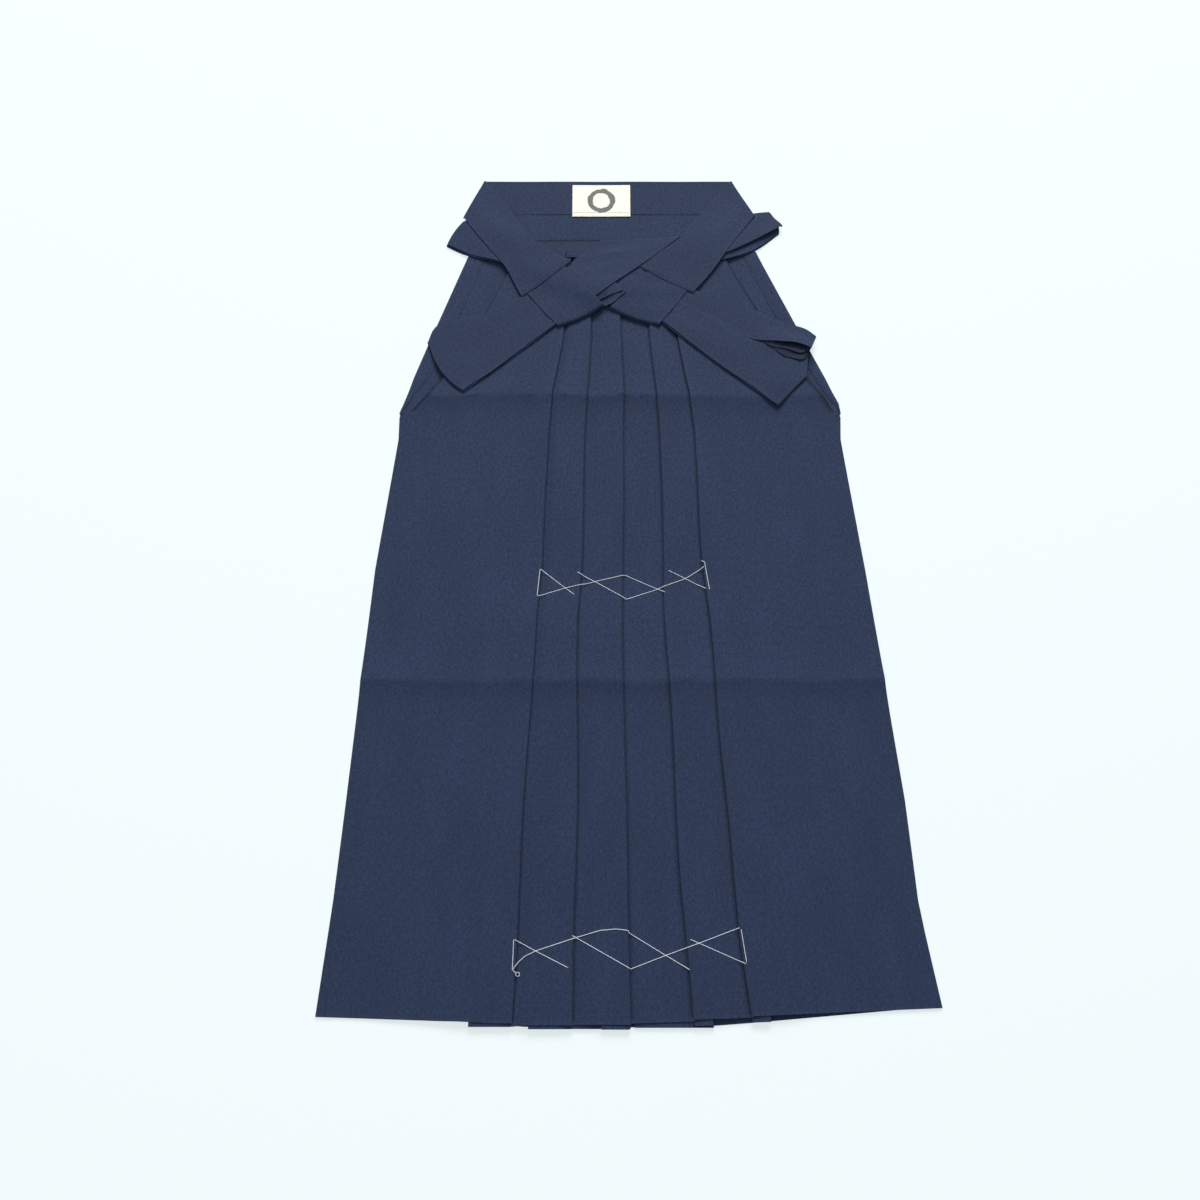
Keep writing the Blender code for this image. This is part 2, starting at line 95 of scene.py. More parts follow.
def add(tree: bpy.types.NodeTree, kind: str, inputs: dict[Any, Any] | None = None,
        **settings: Any) -> bpy.types.Node:
    """Adds one node to a tree.

    Args:
        tree: The shader or geometry tree.
        kind: The node's type name.
        inputs: Input name or number to its value, or to the output socket that feeds it.
        settings: Properties of the node itself.

    Returns:
        The new node.
    """
    node = tree.nodes.new(kind)
    for key, value in settings.items():
        setattr(node, key, value)
    for key, value in (inputs or {}).items():
        if isinstance(value, bpy.types.NodeSocket):
            tree.links.new(value, node.inputs[key])
        else:
            node.inputs[key].default_value = value
    return node


def smooth(value: np.ndarray | float) -> np.ndarray | float:
    """Smoothstep of a value held between 0 and 1."""
    held = np.clip(value, 0.0, 1.0)
    return held * held * (3 - 2 * held)


def shares(count: int) -> np.ndarray:
    """Column of evenly spaced shares from 0 to 1."""
    return np.linspace(0, 1, count)[:, None]


# ------------------------------------------------------------------ finishes
class Slot(Enum):
    """Material slots."""

    CLOTH = "navy_cloth"
    TIE = "navy_tie"
    LABEL = "cream_label"


@dataclass(frozen=True)
class Finish:
    """A node-built material, named for what the real one is."""

    name: str

    def surface(self, tree: bpy.types.NodeTree) -> bpy.types.Node:
        """Adds the nodes of the finish and gives back its shader."""
        raise NotImplementedError

    def make(self) -> bpy.types.Material:
        """Builds the material.

        Returns:
            The material, reading object coordinates or the "cloth" UV map, in metres.
        """
        finish = bpy.data.materials.new(self.name)
        finish.use_nodes = True
        finish.node_tree.nodes.clear()
        shader = self.surface(finish.node_tree)
        add(finish.node_tree, "ShaderNodeOutputMaterial", {"Surface": shader.outputs[0]})
        return finish


@dataclass(frozen=True)
class WovenNavy(Finish):
    """Plain-woven navy polyester, dyed in the piece and pressed.

    It gives the eye a matt, slightly bluish face with a fine uneven grain, a soft bloom at
    shallow angles, a painted highlight on folded edges and painted shade in fold crooks.
    """

    body: str = "2C3C59"
    deep: str = "1F2942"
    # colour of the painted highlight on folded edges
    bright: str = "46567A"
    thread: float = 0.0012   # real threads are 0.35 mm apart, too fine to show
    slub: float = 0.0030     # thick places in the weft, with their real spacing
    mottle: float = 0.035
    roughness: float = 0.82

    def surface(self, tree: bpy.types.NodeTree) -> bpy.types.Node:
        """Weave, slubs and mottling, with painted shade in the crooks of folds and a painted highlight on
        folded edges.

        Args:
            tree: The shader tree.

        Returns:
            The shader.
        """
        cloth = add(tree, "ShaderNodeUVMap", uv_map="cloth").outputs["UV"]
        grains = []
        for across, along, detail, rough in (
            (1 / self.thread, 0.4 / self.thread, 1.0, 0.6), (0.4 / self.thread, 1 / self.thread, 1.0, 0.6),
            (1 / self.slub, 0.5 / self.slub, 2.0, 0.6), (1 / self.mottle, 0.3 / self.mottle, 3.0, 0.55),
        ):
            place = add(tree, "ShaderNodeMapping", {"Vector": cloth, "Scale": (across, along, 1.0)})
            grains.append(add(tree, "ShaderNodeTexNoise", {
                "Vector": place.outputs[0], "Scale": 1.0, "Detail": detail, "Roughness": rough,
            }, noise_dimensions="2D").outputs["Fac"])
        weft, warp, slubs, mottle = grains
        weave = add(tree, "ShaderNodeMath", {0: weft, 1: warp}, operation="ADD")
        grain = add(tree, "ShaderNodeMath", {0: slubs, 1: 0.8, 2: weave.outputs[0]},
                    operation="MULTIPLY_ADD").outputs[0]
        spread = add(tree, "ShaderNodeMapRange", {"Value": grain, "From Min": 1.0, "From Max": 1.8})
        ground = add(tree, "ShaderNodeMix", {
            0: spread.outputs[0], 6: linear(self.deep), 7: linear(self.body)}, data_type="RGBA")
        tone = add(tree, "ShaderNodeMapRange",
                   {"Value": mottle, "From Min": 0.3, "From Max": 0.7, "To Min": 0.93, "To Max": 1.05})
        shaded = add(tree, "ShaderNodeVectorMath", {0: ground.outputs[2], "Scale": tone.outputs[0]},
                     operation="SCALE")
        # Painted light read from the mesh: negative values paint shade into the crooks of folds, darkening
        # the colour by 45% per unit; positive values paint a highlight by mixing toward the bright colour.
        painted_light = add(tree, "ShaderNodeAttribute", attribute_name="painted_light").outputs["Fac"]
        crook_shade = add(tree, "ShaderNodeMath", {0: painted_light, 1: 0.0}, operation="MINIMUM")
        shade_factor = add(tree, "ShaderNodeMath", {0: crook_shade.outputs[0], 1: 0.45, 2: 1.0}, operation="MULTIPLY_ADD")
        shade_painted_colour = add(tree, "ShaderNodeVectorMath", {0: shaded.outputs[0], "Scale": shade_factor.outputs[0]},
                   operation="SCALE")
        edge = add(tree, "ShaderNodeMath", {0: painted_light, 1: 0.0}, operation="MAXIMUM")
        highlight_share = add(tree, "ShaderNodeMath", {0: edge.outputs[0], 1: 0.12}, operation="MULTIPLY")
        lit = add(tree, "ShaderNodeMix", {0: highlight_share.outputs[0], 6: shade_painted_colour.outputs[0], 7: linear(self.bright)},
                  data_type="RGBA")
        dull = add(tree, "ShaderNodeMapRange", {
            "Value": grain, "From Min": 0.95, "From Max": 1.85,
            "To Min": self.roughness + 0.08, "To Max": self.roughness - 0.06})
        relief = add(tree, "ShaderNodeBump", {"Height": grain, "Strength": 0.35, "Distance": 0.00035})
        return add(tree, "ShaderNodeBsdfPrincipled", {
            "Base Color": lit.outputs[2], "Roughness": dull.outputs[0], "Normal": relief.outputs[0],
            "IOR": 1.5, "Specular IOR Level": 0.28, "Sheen Weight": 0.22, "Sheen Roughness": 0.45,
            "Sheen Tint": linear("8FA3CC")})


@dataclass(frozen=True)
class SatinLabel(Finish):
    """Woven satin label with a plain brushed ring.

    It gives the eye a warm white, faintly ribbed square with soft dark ink.
    """

    name: str = "woven satin label"
    ground: str = "FBF9EC"
    shade: str = "DCD9C6"
    ink: str = "3C4038"
    rib: float = 0.0012
    ring_radius: float = 0.0150
    ring_width: float = 0.0062

    def surface(self, tree: bpy.types.NodeTree) -> bpy.types.Node:
        """Ribs of the satin, and a ring whose stroke varies with the brush's pressure.

        Args:
            tree: The shader tree.

        Returns:
            The shader.
        """
        cloth = add(tree, "ShaderNodeUVMap", uv_map="cloth").outputs["UV"]
        place = add(tree, "ShaderNodeMapping", {
            "Vector": cloth, "Scale": (1 / (12 * self.rib), 1 / self.rib, 1.0)})
        ribs, bristle, pressure = (
            add(tree, "ShaderNodeTexNoise", {"Vector": vector, "Scale": scale, "Detail": detail},
                noise_dimensions="2D").outputs["Fac"]
            for vector, scale, detail in (
                (place.outputs[0], 1.0, 2.0), (cloth, 260.0, 3.0), (cloth, 55.0, 1.0)))
        ground = add(tree, "ShaderNodeMix", {0: ribs, 6: linear(self.ground), 7: linear(self.shade)},
                     data_type="RGBA")
        away = add(tree, "ShaderNodeVectorMath", {0: cloth}, operation="LENGTH")
        loose = add(tree, "ShaderNodeMath", {0: bristle, 1: 0.0022, 2: away.outputs["Value"]},
                    operation="MULTIPLY_ADD")
        from_ring = add(tree, "ShaderNodeMath", {0: loose.outputs[0], 1: self.ring_radius + 0.0011},
                        operation="SUBTRACT")
        off_ring = add(tree, "ShaderNodeMath", {0: from_ring.outputs[0]}, operation="ABSOLUTE")
        distance = add(tree, "ShaderNodeMath", {0: pressure, 1: 0.0050, 2: off_ring.outputs[0]},
                       operation="MULTIPLY_ADD")
        stroke = add(tree, "ShaderNodeMapRange", {
            "Value": distance.outputs[0], "From Min": self.ring_width * 0.85,
            "From Max": self.ring_width * 1.10, "To Min": 1.0, "To Max": 0.0,
        }, interpolation_type="SMOOTHSTEP")
        colour = add(tree, "ShaderNodeMix", {0: stroke.outputs[0], 6: ground.outputs[2], 7: linear(self.ink)},
                     data_type="RGBA")
        relief = add(tree, "ShaderNodeBump", {"Height": ribs, "Strength": 0.3, "Distance": 0.0002})
        gloss = add(tree, "ShaderNodeMapRange", {"Value": ribs, "To Min": 0.38, "To Max": 0.55})
        return add(tree, "ShaderNodeBsdfPrincipled", {
            "Base Color": colour.outputs[2], "Normal": relief.outputs[0], "Roughness": gloss.outputs[0],
            "Specular IOR Level": 0.4, "Sheen Weight": 0.15})


@dataclass(frozen=True)
class SpunThread(Finish):
    """Spun sewing thread: a matt, slightly hairy line with a visible ply."""

    bright: str = "F2F6FA"
    deep: str = "C2CBD8"
    ply: float = 0.0009

    def surface(self, tree: bpy.types.NodeTree) -> bpy.types.Node:
        """Slanting bands for the ply.

        Args:
            tree: The shader tree.

        Returns:
            The shader.
        """
        place = add(tree, "ShaderNodeTexCoord").outputs["Object"]
        ply = add(tree, "ShaderNodeTexWave", {
            "Vector": place, "Scale": 0.314 / self.ply, "Distortion": 1.5, "Detail": 1.0,
        }, bands_direction="DIAGONAL").outputs["Fac"]
        colour = add(tree, "ShaderNodeMix", {0: ply, 6: linear(self.deep), 7: linear(self.bright)},
                     data_type="RGBA")
        relief = add(tree, "ShaderNodeBump", {"Height": ply, "Strength": 0.4, "Distance": 0.0001})
        return add(tree, "ShaderNodeBsdfPrincipled", {
            "Base Color": colour.outputs[2], "Normal": relief.outputs[0], "Roughness": 0.75,
            "Specular IOR Level": 0.3, "Sheen Weight": 0.2})


@dataclass(frozen=True)
class PaleFloor(Finish):
    """Matt milky studio floor, nearly white with a cool cast and a soft glow."""

    name: str = "painted studio floor"
    paint: str = "8E9495"
    glow: str = "F6FEFF"
    strength: float = 0.69   # lit from below like a light table, so shadows stay pale

    def surface(self, tree: bpy.types.NodeTree) -> bpy.types.Node:
        """Paint with a barely visible roller texture.

        Args:
            tree: The shader tree.

        Returns:
            The shader.
        """
        place = add(tree, "ShaderNodeTexCoord").outputs["Object"]
        roller = add(tree, "ShaderNodeTexNoise", {"Vector": place, "Scale": 300.0}).outputs["Fac"]
        relief = add(tree, "ShaderNodeBump", {"Height": roller, "Strength": 0.02, "Distance": 0.0002})
        return add(tree, "ShaderNodeBsdfPrincipled", {
            "Normal": relief.outputs[0], "Base Color": linear(self.paint), "Roughness": 0.9,
            "Specular IOR Level": 0.1, "Emission Color": linear(self.glow),
            "Emission Strength": self.strength})


# ------------------------------------------------------------------ sheets and the pile
@dataclass
class Weft:
    """A net of points on a sheet of cloth, with what the finish needs at each.

    Attributes:
        points: Rows by columns of places, "up" measured from the hem.
        painted_light: Painted light at each point: 1 for a painted highlight on a folded edge, 0 on plain
            cloth, -1 for painted shade deep in the crook of a fold.
        cloth: Place on the flat cloth in metres, for the weave.
    """

    points: np.ndarray
    painted_light: np.ndarray | None = None
    cloth: np.ndarray = field(init=False)

    def __post_init__(self) -> None:
        """Measures the cloth along its rows and columns."""
        across, along = (
            np.insert(np.cumsum(np.linalg.norm(np.diff(self.points, axis=n), axis=2), axis=n), 0, 0, n)
            for n in (1, 0))
        middle = across.shape[1] // 2
        self.cloth = np.stack((across - across[:, middle:middle + 1], along), axis=2)
        if self.painted_light is None:
            self.painted_light = np.zeros(across.shape)

    def area(self) -> float:
        """Measures the sheet.

        Returns:
            Its area in square metres.
        """
        p = self.points
        one = np.cross(p[1:, :-1] - p[:-1, :-1], p[:-1, 1:] - p[:-1, :-1])
        two = np.cross(p[:-1, 1:] - p[1:, 1:], p[1:, :-1] - p[1:, 1:])
        return float(np.linalg.norm(one, axis=2).sum() + np.linalg.norm(two, axis=2).sum()) / 2


@dataclass
class Cut:
    """What is known of a piece of cloth.

    Attributes:
        nodes: The solids that it stands for.
        flat: Width and length of its cut.
        held: How it is held.
        rests_on: Pieces under it.
        area: Area of the cut where it isn't the whole rectangle.
    """

    nodes: tuple[str, ...]
    flat: tuple[float, float]
    held: str
    rests_on: tuple[str, ...] = ()
    area: float | None = None


def settled_piece(draft: bpy.types.Object, name: str) -> bpy.types.Object:
    """Turns a draft with a modifier into a plain piece that rides on the root body.

    Args:
        draft: The draft, which is removed.
        name: Name of the piece.

    Returns:
        The piece.
    """
    bpy.context.scene.collection.objects.link(draft)
    bpy.context.view_layer.update()
    mesh = bpy.data.meshes.new_from_object(draft.evaluated_get(bpy.context.evaluated_depsgraph_get()))
    bpy.data.objects.remove(draft, do_unlink=True)
    mesh.name = name
    piece = bpy.data.objects.new(name, mesh)
    bpy.context.scene.collection.objects.link(piece)
    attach(piece, "root")
    LOG.info("%s: %d faces", name, len(mesh.polygons))
    return piece


def make_cloth(name: str, sheets: Sequence[Weft], wall: float, above: float, finish: bpy.types.Material,
               cut: Cut) -> None:
    """Turns nets of points into one piece of cloth with a wall.

    Args:
        name: Name of the piece.
        sheets: Its nets; edge points that meet are joined.
        wall: Thickness.
        above: -1 puts the wall below the net, 0 on both sides, 1 above it.
        finish: Material.
        cut: What it stands for and how it was cut.
    """
    shape = bmesh.new()
    flat = shape.loops.layers.uv.new("cloth")
    # Painted light at each point: a highlight on folded edges, shade in the crooks of folds.
    pressed = shape.verts.layers.float.new("painted_light")
    for sheet in sheets:
        rows, columns = sheet.painted_light.shape
        corners = {}
        for spot in np.ndindex(rows, columns):
            corners[spot] = shape.verts.new(Vector(sheet.points[spot] - np.array((0.0, CENTRE_UP, 0.0))))
            corners[spot][pressed] = float(sheet.painted_light[spot])
        for i, j in np.ndindex(rows - 1, columns - 1):
            square = ((i, j), (i, j + 1), (i + 1, j + 1), (i + 1, j))
            face = shape.faces.new([corners[spot] for spot in square])
            face.smooth = True
            for loop, spot in zip(face.loops, square):
                loop[flat].uv = sheet.cloth[spot]
    bmesh.ops.remove_doubles(shape, verts=shape.verts, dist=JOIN_WITHIN)
    mesh = bpy.data.meshes.new(name + "_net")
    shape.to_mesh(mesh)
    shape.free()
    mesh.materials.append(finish)
    draft = bpy.data.objects.new(name + "_net", mesh)
    thicken = draft.modifiers.new("wall", "SOLIDIFY")
    thicken.thickness = wall
    thicken.offset = above
    thicken.use_even_offset = False
    thicken.use_quality_normals = True
    piece = settled_piece(draft, name)
    piece.data.set_sharp_from_angle(angle=math.radians(SHARP_FROM))
    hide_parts(*cut.nodes)
    LOG.info("%s: cut %.3f by %.3f m", name, *cut.flat)


@dataclass
class Pile:
    """Height of what already lies on the table, on a square net of cells."""

    cell: float = 0.0010
    half_width: float = 0.36
    low_up: float = -0.03
    high_up: float = 1.10
    top: np.ndarray = field(init=False)

    def __post_init__(self) -> None:
        """Starts with an empty table."""
        across, along = 2 * self.half_width, self.high_up - self.low_up
        self.top = np.zeros((int(across / self.cell), int(along / self.cell)))

    def cells(self, points: np.ndarray) -> tuple[np.ndarray, np.ndarray]:
        """Finds the cells under points.

        Args:
            points: Places, whose last axis starts with x and up.

        Returns:
            Column and row numbers.
        """
        column = ((points[..., 0] + self.half_width) / self.cell).astype(int)
        row = ((points[..., 1] - self.low_up) / self.cell).astype(int)
        return np.clip(column, 0, self.top.shape[0] - 1), np.clip(row, 0, self.top.shape[1] - 1)

    def lay(self, points: np.ndarray, rise: float) -> None:
        """Adds a sheet to the pile.

        Args:
            points: Rows by columns of places.
            rise: Height of the sheet's upper face over its points.
        """
        span = max(np.abs(np.diff(points[..., :2], axis=axis)).max() for axis in (0, 1))
        steps = np.linspace(0.0, 1.0, int(span / self.cell) + 2)
        for u in steps:
            low = points[:-1] * (1 - u) + points[1:] * u
            for v in steps:
                spots = low[:, :-1] * (1 - v) + low[:, 1:] * v
                np.maximum.at(self.top, self.cells(spots), spots[..., 2] + rise)

    def widened(self, reach: int) -> np.ndarray:
        """Highest pile within a few cells of each cell.

        Args:
            reach: Cells to look each way.

        Returns:
            Net of heights.
        """
        wide = self.top.copy()
        for axis in (0, 1):
            source = wide.copy()
            for step in range(-reach, reach + 1):
                np.maximum(wide, np.roll(source, step, axis), out=wide)
        return wide

    def height(self, points: np.ndarray, reach: int = 0) -> np.ndarray:
        """Highest pile within a few cells of points."""
        return self.widened(reach)[self.cells(points)]


def around(net: np.ndarray) -> np.ndarray:
    """Mean of the four neighbours of every point of a net."""
    padded = np.pad(net, 1, mode="edge")
    return (padded[:-2, 1:-1] + padded[2:, 1:-1] + padded[1:-1, :-2] + padded[1:-1, 2:]) / 4


def lie_down(grid: np.ndarray, pile: Pile, weight: float, rounds: int) -> np.ndarray:
    """Lets a flat net settle on the pile under its own weight.

    The net is drawn smooth over the steps below it and never sinks into them.

    Args:
        grid: Rows by columns of places; heights are ignored.
        pile: What lies under it.
        weight: How far a free point sinks each round.
        rounds: Number of rounds.

    Returns:
        The settled net.
    """
    floor = pile.height(grid, 3) + LAYING_GAP
    floor = np.maximum(around(around(around(floor))), floor - 0.0004)
    height = floor.copy()
    for _ in range(rounds):
        height = np.maximum(floor, around(height) - weight)
    return np.concatenate((grid[..., :2], height[..., None]), axis=2)


def flat_net(ups: np.ndarray, left: Any, right: Any, columns: int) -> np.ndarray:
    """Flat net between two sides.

    Args:
        ups: Height from the hem of each row.
        left: Left end of each row, or of all.
        right: Right end of each row, or of all.
        columns: Points along a row.

    Returns:
        Rows by columns of places.
    """
    grid = np.zeros((len(ups), columns, 3))
    grid[..., 0] = np.linspace(left, right, columns).T
    grid[..., 1] = np.asarray(ups)[:, None]
    return grid


# ------------------------------------------------------------------ the skirt
class Side(NamedTuple):
    """Both side edges at one height."""

    up: float
    left: float
    right: float


class Folds(NamedTuple):
    """The five pleat folds at one height, from left to right."""

    up: float
    one: float
    two: float
    three: float
    four: float
    five: float


class Crease(NamedTuple):
    """A soft ridge between two points, steeper on one side than on the other."""

    x: float
    up: float
    end_x: float
    end_up: float
    height: float
    waist_side: float
    hem_side: float


class Path:
    """The cloth followed across the front at one height: rows of x, height, painted light and hang of the
    hem.
    """

    def __init__(self, x: float, height: float, hang: float) -> None:
        """Starts a path.

        Args:
            x: Place across.
            height: Height of the cloth.
            hang: How far its hem hangs down there.
        """
        self.rows: list[tuple[float, float, float, float]] = []
        self.x, self.height, self.hang, self.turned = x, height, hang, 0

    def run(self, x: float, height: float, steps: int, hang: float | None = None, ease: float = 0.0,
            crook_shade: int = 0) -> "Path":
        """Follows a stretch between two folds, its end left out.

        Args:
            x: Place across of its end.
            height: Height of its end.
            steps: Number of points.
            hang: Hang at its end, or None for the same as at its start.
            ease: 0 for a soft S between the heights, else the power of a slow rise.
            crook_shade: Points at the start that lie in the crook of a fold and get painted shade there.

        Returns:
            The path.
        """
        hang = self.hang if hang is None else hang
        for i in range(self.turned, steps):
            share = i / steps
            rise = share ** ease if ease else float(smooth(share))
            # Points in the crook of a fold get -1, painted shade.
            self.rows.append((self.x + (x - self.x) * share, self.height + (height - self.height) * rise,
                              -1.0 if i < crook_shade else 0.0, self.hang + (hang - self.hang) * share))
        self.x, self.height, self.hang, self.turned = x, height, hang, 0
        return self

    def turn(self, height: float, outward: int, hang: float | None = None) -> "Path":
        """Follows a pressed fold round to the next layer.

        Args:
            height: Height of the layer that leaves.
            outward: 1 where the fold faces right, -1 where it faces left.
            hang: Hang of the layer that leaves, or None for the same.

        Returns:
            The path.
        """
        hang = self.hang if hang is None else hang
        radius, middle = abs(height - self.height) / 2, (height + self.height) / 2
        way = 1 if self.height > height else -1
        # Painted light from 0 where the fold meets the upper layer to -1, painted shade, where it meets the
        # lower one.
        for i in range(9):
            angle = math.pi * i / 8
            rise = way * math.cos(angle)
            self.rows.append((self.x + outward * radius * math.sin(angle), middle + radius * rise,
                              0.5 * (rise - 1), self.hang + (hang - self.hang) * i / 8))
        self.height, self.hang, self.turned = height, hang, 1
        return self


@dataclass
class Skirt:
    """The two legs: backs, gussets and the pleated fronts.

    Attributes:
        sides: Side seams, and the back panels' edges above the slits.
        slits: Side edges of the front above the slits.
        allowance: Inner line of the turning along the back's slit edges.
        pleats: Fold lines of the front.
        creases: Storage folds and the softer marks of handling.
    """

    sides: tuple[Side, ...] = (
        Side(0.000, -0.3360, 0.3360), Side(0.124, -0.3250, 0.3190), Side(0.234, -0.3180, 0.3130),
        Side(0.349, -0.3110, 0.3020), Side(0.508, -0.3010, 0.2870), Side(0.680, -0.2820, 0.2680),
        Side(0.716, -0.2822, 0.2698), Side(0.730, -0.2772, 0.2680), Side(0.745, -0.2722, 0.2612),
        Side(0.765, -0.2665, 0.2532), Side(0.813, -0.2500, 0.2320), Side(0.928, -0.2090, 0.1820),
        Side(1.000, -0.1830, 0.1520),
    )
    slits: tuple[Side, ...] = (
        Side(0.712, -0.2740, 0.2650), Side(0.726, -0.2610, 0.2560), Side(0.738, -0.2500, 0.2490),
        Side(0.750, -0.2420, 0.2400), Side(0.764, -0.2290, 0.2290), Side(0.861, -0.1770, 0.1720),
        Side(0.910, -0.1550, 0.1470), Side(0.965, -0.1300, 0.1200),
    )
    allowance: tuple[Side, ...] = (
        Side(0.722, -0.2780, 0.2680), Side(0.733, -0.2700, 0.2600), Side(0.745, -0.2640, 0.2520),
        Side(0.774, -0.2440, 0.2360), Side(0.871, -0.2060, 0.1870), Side(0.932, -0.1860, 0.1620),
        Side(1.000, -0.1620, 0.1320),
    )
    pleats: tuple[Folds, ...] = (
        Folds(0.000, -0.126, -0.062, 0.002, 0.068, 0.131),
        Folds(0.090, -0.122, -0.060, 0.000, 0.062, 0.121),
        Folds(0.150, -0.120, -0.058, -0.002, 0.058, 0.116),
        Folds(0.300, -0.114, -0.058, -0.004, 0.052, 0.107),
        Folds(0.445, -0.107, -0.058, -0.005, 0.046, 0.098),
        Folds(0.520, -0.100, -0.054, -0.005, 0.046, 0.092),
        Folds(0.690, -0.096, -0.050, -0.003, 0.043, 0.086),
        Folds(0.742, -0.092, -0.048, -0.001, 0.041, 0.081),
        Folds(0.820, -0.078, -0.044, -0.004, 0.033, 0.069),
        Folds(0.965, -0.067, -0.041, -0.010, 0.026, 0.060),
    )
    creases: tuple[Crease, ...] = (
        Crease(-0.310, 0.739, -0.090, 0.737, 0.0058, 0.050, 0.018),
        Crease(-0.110, 0.738, 0.060, 0.736, 0.0064, 0.050, 0.018),
        Crease(0.050, 0.735, 0.300, 0.738, 0.0060, 0.055, 0.019),
        Crease(-0.340, 0.371, -0.080, 0.369, 0.0048, 0.038, 0.014),
        Crease(-0.100, 0.369, 0.090, 0.370, 0.0052, 0.034, 0.013),
        Crease(0.070, 0.370, 0.330, 0.372, 0.0048, 0.040, 0.015),
        Crease(-0.255, 0.705, -0.205, 0.560, 0.0009, 0.016, 0.022),
        Crease(0.240, 0.700, 0.190, 0.590, 0.0008, 0.018, 0.020),
        Crease(-0.190, 0.250, -0.240, 0.060, 0.0007, 0.024, 0.020),
        Crease(0.205, 0.300, 0.260, 0.120, 0.0008, 0.022, 0.026),
        Crease(-0.150, 0.820, -0.170, 0.752, 0.0008, 0.014, 0.016),
        Crease(0.130, 0.800, 0.175, 0.750, 0.0008, 0.016, 0.014),
    )
    hem_across: tuple[float, ...] = (-0.336, -0.200, 0.000, 0.131, 0.336)
    hem_rise: tuple[float, ...] = (0.003, 0.000, 0.000, 0.004, 0.012)
    underlay_hang: tuple[float, ...] = (0.0068, 0.0090, 0.0095, 0.0080, 0.0065)
    section_hang: tuple[float, ...] = (0.0030, 0.0050, 0.0045, 0.0035, 0.0015, 0.0000)
    section_start: tuple[float, ...] = (0.0066, 0.0048)
    hang_reach: float = 0.09  # the hanging of the hem fades out over this height
    back_hem_across: tuple[float, ...] = (-0.336, -0.172, -0.126, -0.108, 0.000, 0.090, 0.131, 0.155, 0.336)
    back_hem_up: tuple[float, ...] = (0.005, 0.002, -0.006, -0.0072, -0.0075, -0.006, -0.003, -0.001, 0.014)
    gusset_hangs: tuple[float, float] = (0.0090, 0.0078)
    gusset_start: float = 0.006
    gusset_folds: tuple[tuple[float, ...], ...] = ((0.102, 0.082, 0.060), (0.090, 0.078, 0.060))
    crotch_up: float = 0.430
    gusset_ramp: float = 0.070
    underlay_left: float = 0.046
    underlay_right: float = 0.020
    underlay_shares: tuple[float, ...] = (0.72, 0.50, 0.33)
    edge_room: float = 0.0015
    side_ramp: float = 0.014
    row_step: float = 0.009
    lift: float = 0.0013
    lift_reach: float = 0.018
    sway: float = 0.0009
    slit_edge_lift: float = 0.0018
    turning: float = 0.024    # cloth turned in along each slit of the back
    wavers: tuple[tuple[float, float], ...] = ((19, 0.5), (23, 2.0), (17, 4.1), (21, 1.1), (26, 3.0))
    held_down: tuple[tuple[float, float], ...] = ((0.491, 0.022), (0.072, 0.026))  # basting rows, reach
    extra_rows: tuple[float, ...] = (0.002, 0.005, 0.366, 0.370, 0.374, 0.734, 0.738, 0.742)
    # painted highlight along the hem row, and painted shade along the fronts' slit edges above a given height
    hem_highlight: float = 0.3
    slit_painted_shade: tuple[float, float] = (-1.6, -1.0)
    slit_shade_from: float = SLIT_UP + 0.004
    swells: tuple[tuple[float, float, float, float], ...] = (
        (0.00035, 0.130, 0.90, 0.4), (0.00025, 0.083, -0.70, 2.1), (0.00030, 0.410, 0.23, 4.0),
    )

    def read(self, table: Sequence[Any], column: str, up: float) -> float:
        """Reads a column of a table of rows between its heights."""
        return float(np.interp(up, [row.up for row in table], [getattr(row, column) for row in table]))

    def folds(self, up: float) -> tuple[list[float], list[float], list[float]]:
        """Fold lines at one height.

        Args:
            up: Height from the hem.

        Returns:
            The five folds, the inner fold of each and how far each stands off the cloth.
        """
        lines = [self.read(self.pleats, name, up) + self.sway * math.sin(up * pace + phase)
                 for name, (pace, phase) in zip(Folds._fields[1:], self.wavers)]
        two, three, four = self.underlay_shares
        inner = [
            lines[0] - self.underlay_left,
            lines[1] - two * (lines[1] - lines[0]),
            lines[2] - three * (lines[2] - lines[1]),
            lines[3] + four * (lines[4] - lines[3]),
            lines[4] + self.underlay_right,
        ]
        held = 1.0  # the basting holds the folds down
        for middle, reach in self.held_down:
            held -= 0.5 * math.exp(-((up - middle) / reach) ** 2)
        uneven = [0.85 + 0.3 * math.sin(up * 14 + 1.7 * i) + 0.15 * math.sin(up * 37 + 2.6 * i)
                  for i in range(5)]
        lifts = [self.lift * held * share for share in uneven]
        return lines, inner, lifts

    def relief(self, x: np.ndarray, up: np.ndarray) -> np.ndarray:
        """Height that the creases and slow swells add to the cloth.

        Args:
            x: Places across.
            up: Places along.

        Returns:
            Height of the cloth over its pressed form, never below it.
        """
        total = np.zeros(x.shape)
        for crease in self.creases:
            along = np.array((crease.end_x - crease.x, crease.end_up - crease.up))
            length = float(np.linalg.norm(along))
            along = along / length
            share = ((x - crease.x) * along[0] + (up - crease.up) * along[1]) / length
            offset = (up - crease.up) * along[0] - (x - crease.x) * along[1]
            offset = offset * np.sign(along[0] if abs(along[0]) > 0.3 else 1.0)
            offset = offset + 0.0016 * np.sin(share * 9 + crease.up * 40)
            reach = np.where(offset > 0, crease.waist_side, crease.hem_side)
            fade = smooth((share + 0.12) / 0.2) * smooth((1.12 - share) / 0.2)
            total = np.maximum(total, crease.height * fade * np.exp(-np.hypot(offset, 0.002) / reach))
        swell = sum(height * np.sin(2 * math.pi * (x / across + up / along) + phase)
                    for height, across, along, phase in self.swells)
        return total + np.maximum(swell + 0.0004, 0.0)

